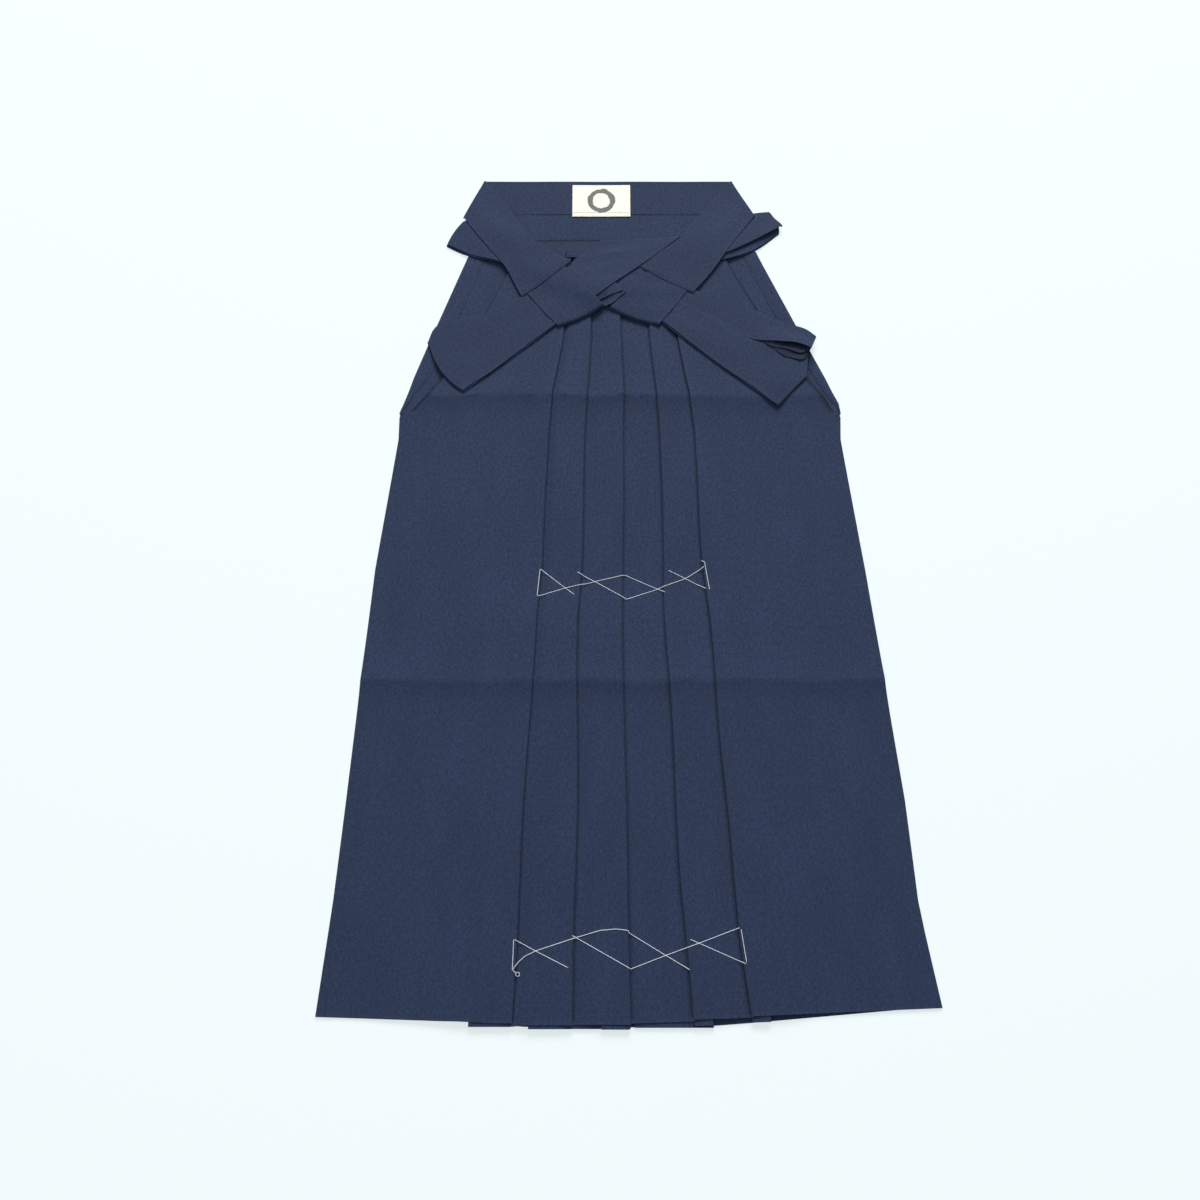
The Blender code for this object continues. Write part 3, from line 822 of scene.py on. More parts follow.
    def section(self, left: bool, up: float) -> list[tuple[float, float, float, float]]:
        """Path of the cloth across one front at one height; the right one starts at the hidden centre seam.

        Args:
            left: True for the left front.
            up: Height from the hem.

        Returns:
            Rows of x, height, painted light and hang.
        """
        lines, inner, lifts = self.folds(up)
        base = 3.0 - 2.0 * float(smooth((up - self.crotch_up) / self.gusset_ramp))  # layers under the pleats
        z = [CLOTH_MIDDLE + CLOTH_PITCH * (base + k) for k in range(3)]
        under, top, room, reach = self.underlay_hang, self.section_hang, self.edge_room, self.lift_reach
        small = CLOTH_PITCH / 2
        side = self.read(self.sides if up < SLIT_UP else self.slits, "left" if left else "right", up)
        stands = self.slit_edge_lift * float(smooth((up - SLIT_UP - 0.03) / 0.06))
        edge = (side, CLOTH_MIDDLE + CLOTH_PITCH + stands)
        if left:
            path = Path(*edge, 0.0).run(inner[0] - self.side_ramp, z[2], 34, top[0] * 0.4, ease=3.2)
            path.run(lines[0] - reach, z[2], 8, top[0])
            for i in range(3):
                high = z[2] + lifts[i]
                large = (high - z[1]) / 2
                path.run(lines[i] - large, high, 6).turn(z[1], 1, under[i])
                if i == 2:
                    path.run(inner[2], z[1], 5)
                    return path.rows + [(inner[2], z[1], 0.0, under[2])]
                path.run(inner[i] + small, z[1], 5).turn(z[0], -1)
                path.run(lines[i] + room, z[0], 5, self.section_start[i], crook_shade=5)
                path.run(inner[i + 1] - room, z[2], 8, top[i + 1], crook_shade=1).run(lines[i + 1] - reach, z[2], 5)
        path = Path(inner[2], z[0], under[2]).run(lines[2] + room, z[0], 4, top[3], crook_shade=4)
        path.run(lines[3] - room, z[0], 15, crook_shade=1)
        for i in (3, 4):
            high = z[2] + lifts[i]
            large = (high - z[1]) / 2
            path.run(inner[i] - small, z[0], 4, under[i], crook_shade=4).turn(z[1], 1)
            path.run(lines[i] + large, z[1], 4).turn(high, -1, top[i + 1])
            if i == 3:
                path.run(inner[3] + room, z[2], 7).run(lines[4] - room, z[0], 10)
        flat = inner[4] + self.side_ramp
        path.run(lines[4] + reach, z[2], 5).run(flat, z[2], 5)
        far = Path(*edge, top[5]).run(flat, z[2], 34, ease=3.2)
        return path.rows + [(flat, z[2], 0.0, top[5])] + far.rows[::-1]

    def front(self, left: bool) -> Weft:
        """Net of one front panel.

        Args:
            left: True for the left one.

        Returns:
            The net, creased.
        """
        ups = set(np.linspace(0.0, WAIST_UP, int(WAIST_UP / self.row_step)).round(4))
        ups |= {row.up for row in self.sides if row.up < WAIST_UP} | {row.up for row in self.slits}
        ups |= set(self.extra_rows)  # at the hem and the creases
        rows, painted_light = [], []
        for up in sorted(ups):
            section = self.section(left, up)
            fade = max(0.0, 1 - up / self.hang_reach)
            rise = np.interp([p[0] for p in section], self.hem_across, self.hem_rise)
            rows.append([(x, up + fade * (lift - hang), z) for (x, z, _, hang), lift in zip(section, rise)])
            # Painted highlight on the hem's bottom rows; above the slits, painted shade on the slit edge's
            # first points.
            light_row = [self.hem_highlight if up <= self.extra_rows[0] else p[2] for p in section]
            if up > self.slit_shade_from:
                light_row[slice(0, 2) if left else slice(-2, None)] = self.slit_painted_shade[::1 if left else -1]
            painted_light.append(light_row)
        points = np.array(rows)
        points[..., 2] += self.relief(points[..., 0], points[..., 1])
        return Weft(points, np.array(painted_light))

    def back(self, column: str) -> list[Weft]:
        """Nets of one back panel and of the turning along its slit.

        Args:
            column: "left" or "right".

        Returns:
            Two nets that share the slit's edge.
        """
        sign = -1 if column == "left" else 1
        ups = set(np.linspace(0.0, BACK_SEAM_UP - 0.0003, 60).round(4))
        ups |= {row.up for row in self.sides[1:-1] + self.allowance[:-1]}
        ups = np.array(sorted(ups))
        edge = np.array([self.read(self.sides, column, up) for up in ups])[:, None]
        seam = np.array([sum(self.read(self.sides, name, up) for name in ("left", "right")) for up in ups])
        seam = seam[:, None] / 2 + 0.0003 * (sign < 0)  # the left panel overlaps the right one in the seam
        share = np.concatenate((np.linspace(0, 0.1, 5), np.linspace(0.1, 1, 25)[1:]))
        grid = flat_net(ups, 0.0, 0.0, len(share))
        grid[..., 0] = edge + (seam - edge) * share
        fade = np.maximum(0.0, 1 - ups / self.hang_reach)[:, None]
        grid[..., 1] += fade * np.interp(grid[..., 0], self.back_hem_across, self.back_hem_up)
        grid[..., 2] = CLOTH_MIDDLE - 0.0001 * ((sign < 0) & (share == 1))
        turned = []
        for edge_x, up, low in grid[grid[:, 0, 1] > SLIT_UP, 0]:
            line = self.read(self.allowance, column, up)
            radius = CLOTH_PITCH / 2
            arc = [(edge_x + sign * radius * math.sin(math.pi * k / 4), up,
                    low + radius * (1 - math.cos(math.pi * k / 4))) for k in range(5)]
            turned.append(arc + [(edge_x + (line - edge_x) * k / 6, up,
                                  low + CLOTH_PITCH * (1 - 0.65 * (k / 6) ** 3)) for k in range(1, 7)])
        # Painted highlight on the rounded fold of the turned edge.
        painted_light = np.tile([EDGE_HIGHLIGHT] * 5 + [0.0] * 6, (len(turned), 1))
        if sign > 0:
            return [Weft(grid[:, ::-1]), Weft(np.array(turned), painted_light)]
        return [Weft(grid), Weft(np.array(turned)[:, ::-1], painted_light[:, ::-1])]

    def gusset(self, sign: int) -> Weft:
        """Net of the folded piece between the legs on one side.

        Args:
            sign: -1 for the left one, 1 for the right one.

        Returns:
            The net.
        """
        hang = self.gusset_hangs[sign > 0]
        ups = np.linspace(-hang, self.crotch_up, 24)
        radius, start, top = CLOTH_PITCH / 2, self.gusset_start, CLOTH_MIDDLE + 2 * CLOTH_PITCH
        rows = []
        knots = (-hang, self.crotch_up / 2, self.crotch_up)
        for up in ups:
            far = float(np.interp(up, knots, self.gusset_folds[sign > 0])) - radius
            path = [(start + (far - start) * k / 6, top) for k in range(6)]
            path += [(far + radius * math.sin(angle), top - radius + radius * math.cos(angle))
                     for angle in (math.pi * k / 4 for k in range(5))]
            path += [(far - (far - start) * k / 6, top - CLOTH_PITCH) for k in range(1, 7)]
            rows.append([(sign * x, up, z) for x, z in path])
        return Weft(np.array(rows)[:, ::sign])

    def make(self, pile: Pile, finish: bpy.types.Material) -> None:
        """Makes all six panels and lays them on the pile.

        Args:
            pile: What lies on the table, which the panels join.
            finish: The cloth.
        """
        def lay(panel: str, sheets: list[Weft], length: float, under: tuple[str, ...] = ()) -> None:
            """Makes one panel, with its cut measured on its nets.

            Args:
                panel: Name of its solid.
                sheets: Its nets.
                length: Length of its cut.
                under: Pieces under it.
            """
            area = sum(sheet.area() for sheet in sheets)
            width = max(float(np.ptp(sheet.cloth[..., 0], axis=1).max()) for sheet in sheets)
            width += self.turning * (len(sheets) - 1)
            cut = Cut((panel,), (width, length), "laid", under, min(area, width * length))
            make_cloth("cloth_" + panel, sheets, CLOTH_WALL, 0.0, finish, cut)
            for sheet in sheets:
                pile.lay(sheet.points, CLOTH_WALL / 2)

        for column in ("left", "right"):
            lay(f"back_panel_{column}", self.back(column), BACK_SEAM_UP)
        for column, sign in (("left", -1), ("right", 1)):
            lay(f"leg_gusset_{column}", [self.gusset(sign)], self.crotch_up + self.gusset_hangs[sign > 0],
                (f"cloth_back_panel_{column}",))
        for column in ("left", "right"):
            lay(f"front_panel_{column}", [self.front(column == "left")], WAIST_UP,
                (f"cloth_back_panel_{column}", f"cloth_leg_gusset_{column}"))


# ------------------------------------------------------------------ bands and label
@dataclass
class Bands:
    """Both waistbands and the label.

    Attributes:
        low: Ends of the back waistband at its seam.
        high: Ends of the back waistband at its top edge.
    """

    low: tuple[float, float] = (-0.2075, 0.1695)
    high: tuple[float, float] = (-0.185, 0.144)
    back_wall: float = 0.0013
    front_ends: tuple[float, float] = (-0.130, 0.120)
    front_height: float = 0.026
    front_wall: float = 0.0011
    label_box: tuple[float, float, float, float] = (-0.068, 0.009, 1.005, 1.054)
    label_wall: float = 0.0004
    top_painted_shade: tuple[float, float] = (-1.4, -1.7)   # painted shade along the front band's top line

    def back(self) -> Weft:
        """Net of the back waistband, soft across its height.

        Returns:
            The net.
        """
        ups = np.linspace(BACK_SEAM_UP, BACK_TOP_UP, 13)
        left, right = (np.linspace(low, high, 13) for low, high in zip(self.low, self.high))
        grid = flat_net(ups, left, right, 49)
        grid[..., 2] = 0.0003 * np.sin(grid[..., 0] * 31 + 1) ** 2
        painted_light = np.zeros(grid.shape[:2])
        # Painted highlight along the band's seam edge and, stronger, along its top edge.
        painted_light[0], painted_light[-1] = 0.5, 1.0
        return Weft(grid, painted_light)

    def front(self, pile: Pile) -> Weft:
        """Net of the front waistband, lying over the tops of the pleats, with painted shade along its top
        edge.

        Args:
            pile: What lies under it.

        Returns:
            The net.
        """
        ups = np.append(np.linspace(WAIST_UP - self.front_height, WAIST_UP - 0.0030, 7),
                        (WAIST_UP - 0.0012, WAIST_UP + 0.0003))
        grid = lie_down(flat_net(ups, *self.front_ends, 65), pile, 0.00001, 40)
        painted_light = np.zeros(grid.shape[:2])
        painted_light[-2], painted_light[-1] = self.top_painted_shade
        return Weft(grid, painted_light)

    def label(self, pile: Pile) -> Weft:
        """Net of the label, its flat measures centred for the ring.

        Args:
            pile: What lies under it.

        Returns:
            The net.
        """
        left, right, low, high = self.label_box
        sheet = Weft(lie_down(flat_net(np.linspace(low, high, 13), left, right, 21), pile, 0.0, 4))
        sheet.cloth = sheet.points[..., :2] - ((left + right) / 2, (low + high) / 2)
        return sheet

    def make(self, pile: Pile, navy: bpy.types.Material, satin: bpy.types.Material) -> None:
        """Makes the bands and the label and lays them on the pile.

        Args:
            pile: What lies on the table.
            navy: Cloth of the bands.
            satin: Cloth of the label.
        """
        left, right, low, high = self.label_box
        sheet = self.back()
        cut = Cut(("back_waistband",), (self.low[1] - self.low[0], BACK_TOP_UP - BACK_SEAM_UP), "folded", (),
                  sheet.area())
        make_cloth("cloth_back_waistband", [sheet], self.back_wall, 1.0, navy, cut)
        pile.lay(sheet.points, self.back_wall)
        sheet = self.front(pile)
        width = self.front_ends[1] - self.front_ends[0]
        cut = Cut(("front_waistband",), (width, self.front_height), "folded",
                  ("cloth_front_panel_left", "cloth_front_panel_right"))
        make_cloth("cloth_front_waistband", [sheet], self.front_wall, 1.0, navy, cut)
        pile.lay(sheet.points, self.front_wall)
        sheet = self.label(pile)
        cut = Cut(("label",), (right - left, high - low), "laid", ("cloth_back_waistband",))
        make_cloth("cloth_label", [sheet], self.label_wall, 1.0, satin, cut)
        pile.lay(sheet.points, self.label_wall)


# ------------------------------------------------------------------ the ties
Leaf = tuple[tuple[float, ...], ...]   # a layer of tie: lines across it, each with x and up of its places


@dataclass
class TieStretch:
    """One stretch of tie that shows, laid flat over what is under it.

    Attributes:
        nodes: The solids it stands for.
        leaves: Its differently shaped layers, the lowest first.
        layers: Layers of the same shape in each leaf.
        stagger: How far each lower layer stands out from the one above.
        bulge: How far the last line swells past its straight course.
        lifted: Height that the second edge rises to at the last line.
        start_turn: Radius with which the first line turns under, or 0.
        end_turn: Radius with which the last line turns under, or 0.
    """

    nodes: tuple[str, ...]
    leaves: tuple[Leaf, ...]
    layers: int = 1
    stagger: float = 0.0
    bulge: float = 0.0
    lifted: float = 0.0
    start_turn: float = 0.0
    end_turn: float = 0.0
    columns: int = 18
    steps: int = 6

    def outline(self, leaf: Leaf, out: float, phase: float) -> tuple[np.ndarray, int]:
        """Flat net over one layer.

        Args:
            leaf: Lines of the layer.
            out: How far its edges stand out.
            phase: Start of the slight waver of its edges.

        Returns:
            Rows by columns of places at no height, and the column of each line's second place.
        """
        knots = np.array(leaf).reshape(len(leaf), -1, 2)
        where = np.linspace(0, len(knots) - 1, (len(knots) - 1) * self.steps + 1)
        curves = spline(knots, where)
        across = curves[:, -1] - curves[:, 0]
        across /= np.linalg.norm(across, axis=1, keepdims=True)
        along = np.gradient((curves[:, 0] + curves[:, -1]) / 2, axis=0)
        along /= np.linalg.norm(along, axis=1, keepdims=True)
        waver = TIE_UNEVEN * np.sin(where * 2.3 + phase)[:, None]
        curves[:, 0] -= across * (out * 0.6 + waver)
        curves[:, -1] += across * (out + waver)
        lengths = np.linalg.norm(np.diff(curves, axis=1), axis=2).mean(axis=0)
        counts = np.maximum(3, np.round(self.columns * lengths / lengths.sum())).astype(int)
        columns = [curves[:, 0]]
        for k, steps in enumerate(counts):
            wide = curves[:, k + 1] - curves[:, k]
            columns += [curves[:, k] + wide * j / steps for j in range(1, steps + 1)]
        flat = np.stack(columns, axis=1)
        v = shares(flat.shape[1]).T
        push = smooth(where - where[-1] + 1.0)[:, None] * (4 * v * (1 - v) * self.bulge + out * 0.7)
        flat += along[:, None, :] * push[..., None]
        return np.concatenate((flat, np.zeros(flat.shape[:2] + (1,))), axis=2), counts[0]

    def settled(self, leaf: Leaf, out: float, phase: float, pile: Pile) -> tuple[np.ndarray, int]:
        """Net of one layer, at rest on the pile and a little uneven.

        Args:
            leaf: Lines of the layer.
            out: How far its edges stand out.
            phase: Start of its unevenness.
            pile: What lies under it.

        Returns:
            The net and the column of each line's second place.
        """
        flat, second = self.outline(leaf, out, phase)
        grid = lie_down(flat, pile, TIE_WEIGHT, TIE_ROUNDS)
        u, v = shares(grid.shape[0]), shares(grid.shape[1]).T
        grid[..., 2] += TIE_UNEVEN * np.sin(u * 7 + v * 3 + phase) ** 2
        grid[..., 2] += self.lifted * smooth((u - 0.25) / 0.75) * smooth((v - 0.35) / 0.65)
        return grid, second

    def lay(self, pile: Pile) -> list[Weft]:
        """Lays the stretch, layer by layer.

        Args:
            pile: What lies under it, which it joins.

        Returns:
            A net for each layer.
        """
        wefts = []
        for number, leaf in enumerate(self.leaves):
            for layer in range(self.layers):
                out = self.stagger * (self.layers - 1 - layer)
                grid, _ = self.settled(leaf, out, 1.9 * (layer + number) + len(self.nodes[0]), pile)
                wefts.append(self.finished(self.turned(grid), pile))
        return wefts

    def finished(self, grid: np.ndarray, pile: Pile, shade: float = 0.0) -> Weft:
        """Adds a net to the pile.

        Args:
            grid: The net.
            pile: What lies under it.
            shade: Painted shade over it, from 0, for where it lies in shadow inside another.

        Returns:
            The net with its faces up and a painted highlight on its edges.
        """
        # Painted shade over the whole net, and a painted highlight on both long edges.
        painted_light = np.full(grid.shape[:2], -shade)
        painted_light[:, 0] = painted_light[:, -1] = EDGE_HIGHLIGHT - shade
        i, j = grid.shape[0] // 2, grid.shape[1] // 2
        if np.cross(grid[i, j + 1] - grid[i, j], grid[i + 1, j] - grid[i, j])[2] < 0:
            grid, painted_light = grid[:, ::-1], painted_light[:, ::-1]
        pile.lay(grid, TIE_WALL)
        return Weft(grid, painted_light)

    def turned(self, grid: np.ndarray) -> np.ndarray:
        """Adds the rolled edge where the tie passes under itself.

        Args:
            grid: Settled net.

        Returns:
            The net with its turned rows.
        """
        for radius, way in ((self.start_turn, -1), (self.end_turn, 1)):
            rows = grid[::way]
            outward = rows[-1, :, :2] - rows[-2, :, :2]
            outward /= np.linalg.norm(outward, axis=1, keepdims=True)
            extra = []
            for k in range(1, 7 if radius else 1):
                angle = math.radians(24 * k)
                row = rows[-1].copy()
                row[:, :2] += outward * radius * math.sin(angle)
                row[:, 2] = np.maximum(row[:, 2] - radius * (1 - math.cos(angle)), TIE_LOWEST)
                extra.append(row[None])
            grid = np.concatenate([rows, *extra])[::way]
        return grid


@dataclass
class GapingTie(TieStretch):
    """A tie whose far end gapes, so that the layers folded inside it show.

    Each line has the flap's lip as its second place.

    Attributes:
        inner: Layers that show inside, the lowest first.
        opens: Shares of the length where the lip starts to lift and is fully open.
        gape: Height of the open lip over the layers inside.
        inner_lift: Height that the layers inside rise to at their end.
        inner_painted_shade: Painted shade on them, for the shadow inside the gaping end.
    """

    inner: tuple[Leaf, ...] = ()
    opens: tuple[float, float] = (0.58, 0.82)
    gape: float = 0.0048
    inner_lift: float = 0.0014
    inner_painted_shade: float = 1.1

    def lay(self, pile: Pile) -> list[Weft]:
        """Lays the under layers, the lower part, the layers inside and the flap.

        Args:
            pile: What lies under it, which it joins.

        Returns:
            A net for each layer.
        """
        leaf, phase = self.leaves[0], 1.9
        wefts = []
        for layer in range(self.layers - 1):
            grid, _ = self.settled(leaf, self.stagger * (self.layers - 1 - layer), phase * layer, pile)
            wefts.append(self.finished(grid, pile))
        whole, lip = self.settled(leaf, 0.0, phase * self.layers, pile)
        wefts.append(self.finished(whole[:, lip:].copy(), pile))
        for number, layer in enumerate(self.inner):
            inside = TieStretch(self.nodes, (layer,), lifted=self.inner_lift, columns=10)
            grid, _ = inside.settled(layer, 0.0, float(number), pile)
            wefts.append(self.finished(grid, pile, self.inner_painted_shade))
        flap = whole[:, :lip + 1].copy()
        u, v = shares(flap.shape[0]), shares(lip + 1).T
        start, full = self.opens
        over = np.maximum(lie_down(flap, pile, TIE_WEIGHT, 60)[..., 2] - flap[..., 2], 0.0)
        flap[..., 2] += over * smooth((u - start + 0.06) / 0.08)
        flap[..., 2] += smooth((u - start) / (full - start)) * self.gape * smooth((v - 0.2) / 0.8)
        wefts.append(self.finished(self.turned(flap), pile))
        return wefts


def spline(values: np.ndarray, where: np.ndarray) -> np.ndarray:
    """Smooth curve through evenly numbered knots.

    Args:
        values: Value at knots 0, 1, 2 and so on, of any shape.
        where: Places to read it at.

    Returns:
        Values between the knots.
    """
    padded = np.concatenate(([2 * values[0] - values[1]], values, [2 * values[-1] - values[-2]]))
    knot = np.minimum(where.astype(int), len(values) - 2)
    t = (where - knot).reshape((-1,) + (1,) * (values.ndim - 1))
    a, b, c, d = (padded[knot + k] for k in range(4))
    square, cube = 2 * a - 5 * b + 4 * c - d, 3 * b - a - 3 * c + d
    return 0.5 * (2 * b + (c - a) * t + square * t ** 2 + cube * t ** 3)


STRETCHES: tuple[TieStretch, ...] = (
    TieStretch(("front_tie_right_loop_under",), ((
        (0.072, 0.957, 0.084, 0.912), (0.116, 0.972, 0.112, 0.929), (0.150, 0.988, 0.142, 0.941),
        (0.178, 1.000, 0.172, 0.953), (0.197, 1.000, 0.204, 0.978),
    ),), layers=2, stagger=0.0012, bulge=0.004),
    TieStretch(("front_tie_right_loop",), ((
        (0.066, 0.966, 0.086, 0.916), (0.112, 0.986, 0.110, 0.931), (0.146, 1.003, 0.136, 0.946),
        (0.176, 1.009, 0.172, 0.966), (0.192, 1.012, 0.208, 0.986),
    ),), lifted=0.0042, end_turn=0.0016),
    TieStretch(("front_tie_left_arm",), ((
        (-0.012, 0.930, -0.034, 0.884), (-0.050, 0.914, -0.058, 0.866), (-0.090, 0.902, -0.083, 0.843),
        (-0.132, 0.880, -0.112, 0.819), (-0.171, 0.857, -0.141, 0.794), (-0.210, 0.847, -0.171, 0.769),
        (-0.240, 0.838, -0.188, 0.756), (-0.2505, 0.815, -0.203, 0.7435),
    ),), layers=3, stagger=0.0009, bulge=0.009),
    TieStretch(("front_tie_left_loop",), ((
        (-0.075, 0.948, -0.085, 0.902), (-0.120, 0.962, -0.124, 0.917), (-0.168, 0.986, -0.163, 0.934),
        (-0.197, 1.002, -0.199, 0.944), (-0.212, 0.995, -0.230, 0.960),
    ),), layers=3, stagger=0.0010, bulge=0.002, end_turn=0.0012),
    GapingTie(("front_tie_right_arm", "front_tie_right_fold"), ((
        (-0.012, 0.943, -0.025, 0.923, -0.034, 0.909, -0.042, 0.895),
        (0.048, 0.917, 0.033, 0.896, 0.023, 0.882, 0.014, 0.868),
        (0.090, 0.890, 0.072, 0.873, 0.060, 0.859, 0.047, 0.844),
        (0.130, 0.873, 0.118, 0.844, 0.102, 0.829, 0.084, 0.812),
        (0.172, 0.857, 0.160, 0.818, 0.144, 0.799, 0.125, 0.777),
        (0.204, 0.841, 0.196, 0.811, 0.180, 0.783, 0.158, 0.750),
        (0.228, 0.832, 0.2185, 0.8075, 0.206, 0.773, 0.176, 0.735),
        (0.2425, 0.8215, 0.2335, 0.8005, 0.2285, 0.764, 0.191, 0.7235),
    ),), layers=3, stagger=0.0009, end_turn=0.0016, inner=(
        ((0.188, 0.828, 0.186, 0.808), (0.201, 0.824, 0.200, 0.794), (0.212, 0.822, 0.212, 0.789),
         (0.224, 0.819, 0.224, 0.787), (0.234, 0.810, 0.2325, 0.795)),
        ((0.168, 0.838, 0.171, 0.819), (0.186, 0.832, 0.186, 0.806), (0.206, 0.828, 0.2065, 0.801),
         (0.222, 0.824, 0.223, 0.796), (0.235, 0.815, 0.2335, 0.800)),
    )),
    TieStretch(("wrap_right",), ((
        (0.034, 0.920, 0.090, 0.898), (0.020, 0.904, 0.074, 0.877), (0.002, 0.885, 0.058, 0.856),
        (-0.017, 0.865, 0.046, 0.840),
    ),), bulge=0.003, end_turn=0.0034),
    TieStretch(("tie_end_roll",), (
        ((-0.044, 0.893, -0.036, 0.863), (-0.022, 0.895, -0.018, 0.867), (-0.008, 0.891, -0.006, 0.876),
         (0.001, 0.886, 0.000, 0.881)),
        ((-0.046, 0.898, -0.038, 0.872), (-0.026, 0.900, -0.024, 0.876), (-0.012, 0.897, -0.010, 0.882),
         (-0.002, 0.889, -0.003, 0.885)),
    ), end_turn=0.0012),
    TieStretch(("back_tie_right",), ((
        (0.172, 1.003, 0.144, 1.059), (0.148, 0.968, 0.117, 1.027), (0.126, 0.934, 0.091, 0.993),
        (0.107, 0.908, 0.064, 0.958), (0.090, 0.885, 0.017, 0.927),
    ),), bulge=0.003, start_turn=0.0016, end_turn=0.0018),
    TieStretch(("centre_turn",), ((
        (-0.032, 0.963, 0.074, 0.967), (-0.048, 0.950, 0.044, 0.943), (-0.064, 0.934, 0.021, 0.924),
        (-0.080, 0.915, -0.008, 0.900), (-0.092, 0.896, -0.036, 0.878),
    ),), start_turn=0.0018),
    TieStretch(("wrap_left",), ((
        (-0.133, 0.892, -0.080, 0.926), (-0.118, 0.874, -0.064, 0.908), (-0.103, 0.856, -0.047, 0.888),
        (-0.087, 0.838, -0.029, 0.867),
    ),), bulge=0.003, end_turn=0.0034),
    TieStretch(("back_tie_left",), ((
        (-0.185, 1.060, -0.211, 1.001), (-0.158, 1.024, -0.184, 0.963), (-0.131, 0.984, -0.157, 0.927),
        (-0.110, 0.956, -0.143, 0.902), (-0.070, 0.931, -0.133, 0.880),
    ),), bulge=0.003, start_turn=0.0016, end_turn=0.0018),
)


@dataclass
class Ties:
    """All stretches of tie, in the order in which they are laid."""

    stretches: tuple[TieStretch, ...] = STRETCHES

    def make(self, pile: Pile, finish: bpy.types.Material) -> None:
        """Lays and dresses every stretch.

        Args:
            pile: What lies on the table.
            finish: The pressed cloth.
        """
        below = "cloth_front_panel_left"
        for stretch in self.stretches:
            sheets = stretch.lay(pile)
            width = float(np.ptp(sheets[0].cloth[..., 0], axis=1).mean())
            length = sum(sheet.area() for sheet in sheets) / width
            name = "cloth_" + stretch.nodes[0]
            cut = Cut(stretch.nodes, (width, length), "folded", (below,))
            make_cloth(name, sheets, TIE_WALL, 1.0, finish, cut)
            below = name


# ------------------------------------------------------------------ threads
def thread_tree(name: str, sizes: dict[str, float | int]) -> tuple[bpy.types.NodeTree, bpy.types.Node]:
    """Starts a tree of geometry nodes that works along paths.

    Args:
        name: Name of the tree.
        sizes: Its named inputs, with their values.

    Returns:
        The tree and its input node.
    """
    tree = bpy.data.node_groups.new(name, "GeometryNodeTree")
    tree.interface.new_socket("Geometry", in_out="INPUT", socket_type="NodeSocketGeometry")
    for label, size in sizes.items():
        kind = "NodeSocketInt" if isinstance(size, int) else "NodeSocketFloat"
        tree.interface.new_socket(label, in_out="INPUT", socket_type=kind).default_value = size
    tree.interface.new_socket("Geometry", in_out="OUTPUT", socket_type="NodeSocketGeometry")
    return tree, add(tree, "NodeGroupInput")


def dress(tree: bpy.types.NodeTree, shape: bpy.types.Node, material: bpy.types.Material) -> None:
    """Ends a tree: makes its shape real and gives it its finish.

    Args:
        tree: The tree.
        shape: The node whose first output is the shape.
        material: Its finish.
    """
    plain = add(tree, "GeometryNodeRealizeInstances", {"Geometry": shape.outputs[0]})
    dressed = add(tree, "GeometryNodeSetMaterial", {"Geometry": plain.outputs[0], "Material": material})
    add(tree, "NodeGroupOutput", {0: dressed.outputs[0]})


def laid_thread(material: bpy.types.Material) -> bpy.types.NodeTree:
    """Geometry nodes that turn paths into thread.

    Args:
        material: Finish of the thread.

    Returns:
        The tree.
    """
    tree, given = thread_tree("thread along a path", {"Thread radius": 0.0003, "Sides": 6})
    ring = add(tree, "GeometryNodeCurvePrimitiveCircle",
               {"Resolution": given.outputs["Sides"], "Radius": given.outputs["Thread radius"]})
    tube = add(tree, "GeometryNodeCurveToMesh", {
        "Curve": given.outputs["Geometry"], "Profile Curve": ring.outputs["Curve"], "Fill Caps": True})
    dress(tree, tube, material)
    return tree


def stitches(material: bpy.types.Material) -> bpy.types.NodeTree:
    """Geometry nodes that set a run of stitches along paths.

    Args:
        material: Finish of the thread.

    Returns:
        The tree.
    """
    tree, given = thread_tree("stitches along a path",
                              {"Stitch length": 0.0022, "Spacing": 0.003, "Thread width": 0.0004})
    spots = add(tree, "GeometryNodeCurveToPoints",
                {"Curve": given.outputs["Geometry"], "Length": given.outputs["Spacing"]}, mode="LENGTH")
    bead = add(tree, "GeometryNodeMeshUVSphere", {"Segments": 6, "Rings": 4, "Radius": 0.5})
    width = given.outputs["Thread width"]
    size = add(tree, "ShaderNodeCombineXYZ", {"X": width, "Y": width, "Z": given.outputs["Stitch length"]})
    stitch = add(tree, "GeometryNodeTransform", {"Geometry": bead.outputs[0], "Scale": size.outputs[0]})
    run = add(tree, "GeometryNodeInstanceOnPoints", {
        "Points": spots.outputs["Points"], "Instance": stitch.outputs[0],
        "Rotation": spots.outputs["Rotation"]})
    dress(tree, run, material)
    return tree


def sew(name: str, paths: Iterable[np.ndarray], tree: bpy.types.NodeTree, sizes: dict[str, Any]) -> None:
    """Runs a thread tree over paths and keeps the result as a plain mesh.

    Args:
        name: Name of the piece.
        paths: Points of each path, "up" measured from the hem.
        tree: Thread or stitch tree.
        sizes: Named inputs to set.
    """
    curve = bpy.data.curves.new(name + "_path", "CURVE")
    curve.dimensions = "3D"
    for path in paths:
        run = curve.splines.new("POLY")
        run.points.add(len(path) - 1)
        for point, (x, up, z) in zip(run.points, path):
            point.co = (x, up - CENTRE_UP, z, 1.0)
    guide = bpy.data.objects.new(name + "_path", curve)
    nodes = guide.modifiers.new("thread", "NODES")
    nodes.node_group = tree
    for item in tree.interface.items_tree:
        if item.item_type == "SOCKET" and item.name in sizes:
            nodes[item.identifier] = sizes[item.name]
    settled_piece(guide, name).data.shade_smooth()


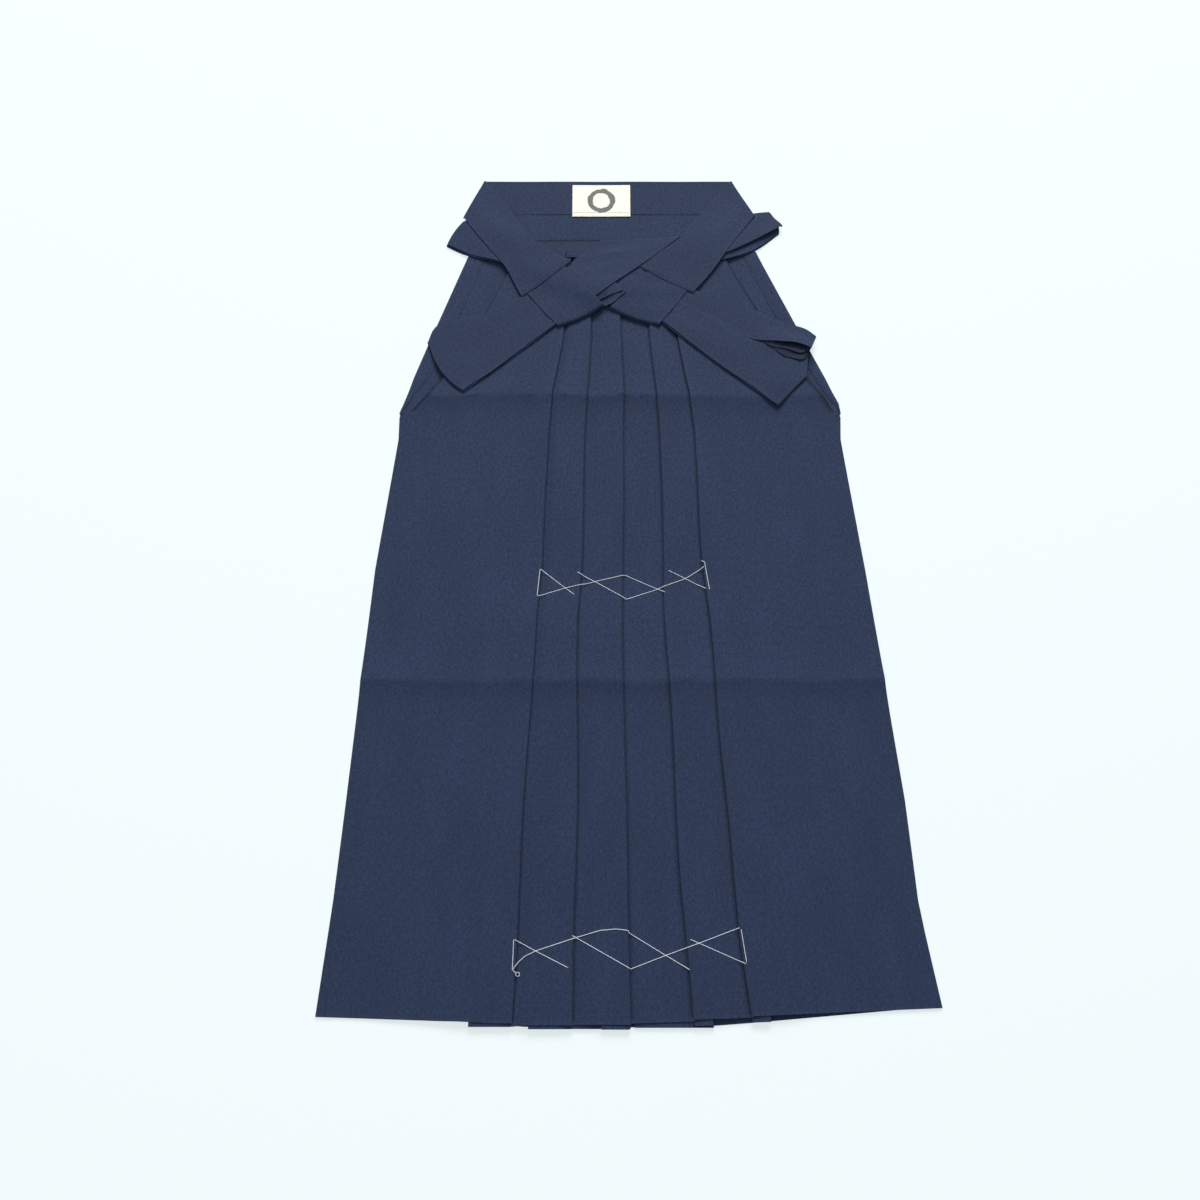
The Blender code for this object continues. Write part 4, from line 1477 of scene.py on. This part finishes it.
@dataclass
class Basting:
    """The two rows of white thread that hold the pleats.

    Attributes:
        upper: Each thread of the upper row as places across and up.
        lower: Each thread of the lower row.
        knot: Middle of the knotted ring at the end of the lower row.
    """

    upper: tuple[tuple[tuple[float, float], ...], ...] = (
        ((-0.103, 0.509), (-0.106, 0.474)),
        ((-0.103, 0.509), (-0.062, 0.476)),
        ((-0.106, 0.474), (-0.071, 0.485), (-0.040, 0.492), (-0.003, 0.501), (0.000, 0.501), (0.035, 0.485),
         (0.047, 0.479)),
        ((-0.059, 0.505), (0.000, 0.471), (0.035, 0.483), (0.070, 0.496), (0.094, 0.512)),
        ((0.050, 0.507), (0.095, 0.484)),
        ((0.090, 0.519), (0.094, 0.517), (0.099, 0.482)),
    )
    lower: tuple[tuple[tuple[float, float], ...], ...] = (
        ((-0.125, 0.083), (-0.1257, 0.0505)),
        ((-0.125, 0.083), (-0.100, 0.070), (-0.065, 0.053)),
        ((-0.1220, 0.0482), (-0.1257, 0.0510), (-0.120, 0.0585), (-0.113, 0.065), (-0.100, 0.071),
         (-0.056, 0.085), (-0.031, 0.092), (-0.014, 0.0935), (-0.001, 0.092), (0.001, 0.089), (0.040, 0.066),
         (0.066, 0.051)),
        ((-0.062, 0.087), (0.002, 0.052), (0.040, 0.066), (0.077, 0.079), (0.121, 0.095)),
        ((0.066, 0.083), (0.127, 0.057)),
        ((0.122, 0.094), (0.127, 0.058)),
    )
    knot: tuple[float, float] = (-0.1200, 0.0465)
    knot_radius: float = 0.0021
    radius: float = 0.00038
    step: float = 0.002
    sits: float = 0.8         # height of the thread's middle over the cloth, in radii
    sinks: float = 3.0        # depth of its ends, in radii

    def drape(self, points: Sequence[tuple[float, float]], pile: Pile) -> np.ndarray:
        """Lays one thread over the cloth, both ends sunk into it.

        Args:
            points: Places across and up.
            pile: The cloth.

        Returns:
            Points of the thread.
        """
        line = []
        for (x, up), (next_x, next_up) in zip(points, points[1:]):
            count = max(2, int(math.hypot(next_x - x, next_up - up) / self.step))
            line += [(x + (next_x - x) * k / count, up + (next_up - up) * k / count) for k in range(count)]
        flat = np.array(line + [points[-1]])
        floor = pile.height(flat, 1)
        height = floor.copy()
        for _ in range(6):
            padded = np.pad(height, 1, mode="edge")
            height = np.maximum(floor, (padded[:-2] + padded[2:]) / 2)
        height += self.radius * self.sits
        height[[0, -1]] -= self.sinks * self.radius
        return np.column_stack((flat, height))

    def make(self, pile: Pile, tree: bpy.types.NodeTree) -> None:
        """Lays both rows of basting.

        Args:
            pile: The cloth.
            tree: Thread tree.
        """
        ring = [(self.knot[0] + self.knot_radius * math.cos(t), self.knot[1] + self.knot_radius * math.sin(t))
                for t in np.linspace(2.3, 2.3 + 2 * math.pi, 19)]
        for name, rows in (("basting_upper", self.upper), ("basting_lower", self.lower + (tuple(ring),))):
            paths = [self.drape(row, pile) for row in rows]
            sew(name, paths, tree, {"Thread radius": self.radius, "Sides": 6})


@dataclass
class Seams:
    """Runs of small stitches on the bands, the label and the slits."""

    skirt: Skirt
    bands: Bands
    inset: float = 0.0025
    label_inset: float = 0.0016

    def along(self, corners: Sequence[tuple[float, float]], pile: Pile,
              rise: float = 0.0001) -> list[np.ndarray]:
        """Paths of straight seams over the cloth, from corner to corner.

        Args:
            corners: Places across and up.
            pile: The cloth as it lay when the seam was sewn.
            rise: Height of the stitches' middle over the cloth.

        Returns:
            Points of each seam.
        """
        paths = []
        for start, end in zip(corners, corners[1:]):
            share = shares(max(3, int(math.dist(start, end) / 0.004)))
            flat = np.array(start) * (1 - share) + np.array(end) * share
            paths.append(np.column_stack((flat, pile.height(flat) + rise)))
        return paths

    def make(self, pile: Pile, navy: bpy.types.NodeTree, cream: bpy.types.NodeTree) -> None:
        """Sews the bands, the slit turnings and the label.

        Args:
            pile: The cloth before the ties are laid.
            navy: Stitch tree in navy thread.
            cream: Stitch tree in cream thread.
        """
        bands, inset, seams = self.bands, self.inset, []
        for (left, right), up, end in (
            (bands.low, BACK_SEAM_UP + inset, 0.004), (bands.high, BACK_TOP_UP - inset, 0.004),
            (bands.front_ends, WAIST_UP - bands.front_height + inset, inset),
        ):
            seams += self.along(((left + end, up), (right - end, up)), pile)
        sew("stitches_waistbands", seams, navy, {"Stitch length": 0.0024, "Spacing": 0.0032})
        turnings = [path for column, inward in (("left", -1), ("right", 1)) for path in self.along(
            [(getattr(row, column) + inward * inset, row.up) for row in self.skirt.allowance], pile)]
        sew("stitches_slits", turnings, navy, {"Stitch length": 0.0016, "Spacing": 0.009})
        near = self.label_inset
        left, right, bottom, top = np.array(bands.label_box) + (near, -near, near, -near)
        corners = ((left, bottom), (right, bottom), (right, top), (left, top), (left, bottom))
        sew("stitches_label", self.along(corners, pile, 0.00005), cream,
            {"Stitch length": 0.0016, "Spacing": 0.0022, "Thread width": 0.0003})


# ------------------------------------------------------------------ the studio
@dataclass
class Studio:
    """Pale floor, soft lights and the camera over the hem end of the garment."""

    tilt: float = 17.5        # degrees off straight down
    distance: float = 1.391   # from the lens to the point it looks at
    aim_x: float = -0.0313
    aim_up: float = 0.4715
    lens: float = 35.0

    def make(self) -> None:
        """Sets up floor, lights, world and camera."""
        bpy.ops.mesh.primitive_plane_add(size=30.0, location=(0.0, 0.0, -0.0002))
        floor = bpy.context.object
        floor.name = "studio_floor"
        floor.data.materials.append(PaleFloor().make())
        for name, place, size, power in (
            ("key", (0.3, 5.6, 4.8), 3.4, 570.0),
            ("fill", (-1.4, -2.2, 2.9), 2.6, 17.0),
            ("top", (0.05, 0.1, 2.4), 1.6, 7.0),
        ):
            data = bpy.data.lights.new(name, "AREA")
            data.energy = power
            data.size = size
            lamp = bpy.data.objects.new(name, data)
            lamp.location = place
            lamp.rotation_euler = (-Vector(place)).to_track_quat("-Z", "Y").to_euler()
            bpy.context.scene.collection.objects.link(lamp)
        world = bpy.data.worlds.new("soft studio")
        world.use_nodes = True
        background = world.node_tree.nodes["Background"]
        background.inputs["Color"].default_value = linear("EAF5FA")
        background.inputs["Strength"].default_value = 0.24
        tilt = math.radians(self.tilt)
        data = bpy.data.cameras.new("camera")
        data.lens = self.lens
        camera = bpy.data.objects.new("camera", data)
        aim = Vector((self.aim_x, self.aim_up - CENTRE_UP, 0.0))
        camera.location = aim + self.distance * Vector((0.0, -math.sin(tilt), math.cos(tilt)))
        camera.rotation_euler = (tilt, 0.0, 0.0)
        bpy.context.scene.collection.objects.link(camera)
        bpy.context.scene.world = world
        bpy.context.scene.camera = camera
        bpy.context.scene.view_settings.view_transform = "Standard"


def main() -> None:
    """Builds the garment piece by piece, then the studio."""
    logging.basicConfig(level=logging.INFO, format="%(message)s")
    cloth = WovenNavy("woven navy polyester").make()
    tie = WovenNavy("pressed navy tie", body="273653", roughness=0.80).make()
    satin = SatinLabel().make()
    pile, skirt, bands = Pile(), Skirt(), Bands()
    skirt.make(pile, cloth)
    bands.make(pile, tie, satin)
    navy_thread = stitches(SpunThread("navy sewing thread", bright="33415F", deep="1D2740").make())
    cream_thread = stitches(SpunThread("cream sewing thread", bright="F4F1E2", deep="CFCBB8").make())
    Seams(skirt, bands).make(pile, navy_thread, cream_thread)
    Basting().make(pile, laid_thread(SpunThread("white basting cotton").make()))
    Ties().make(pile, tie)
    Studio().make()


if __name__ == "__main__":
    main()
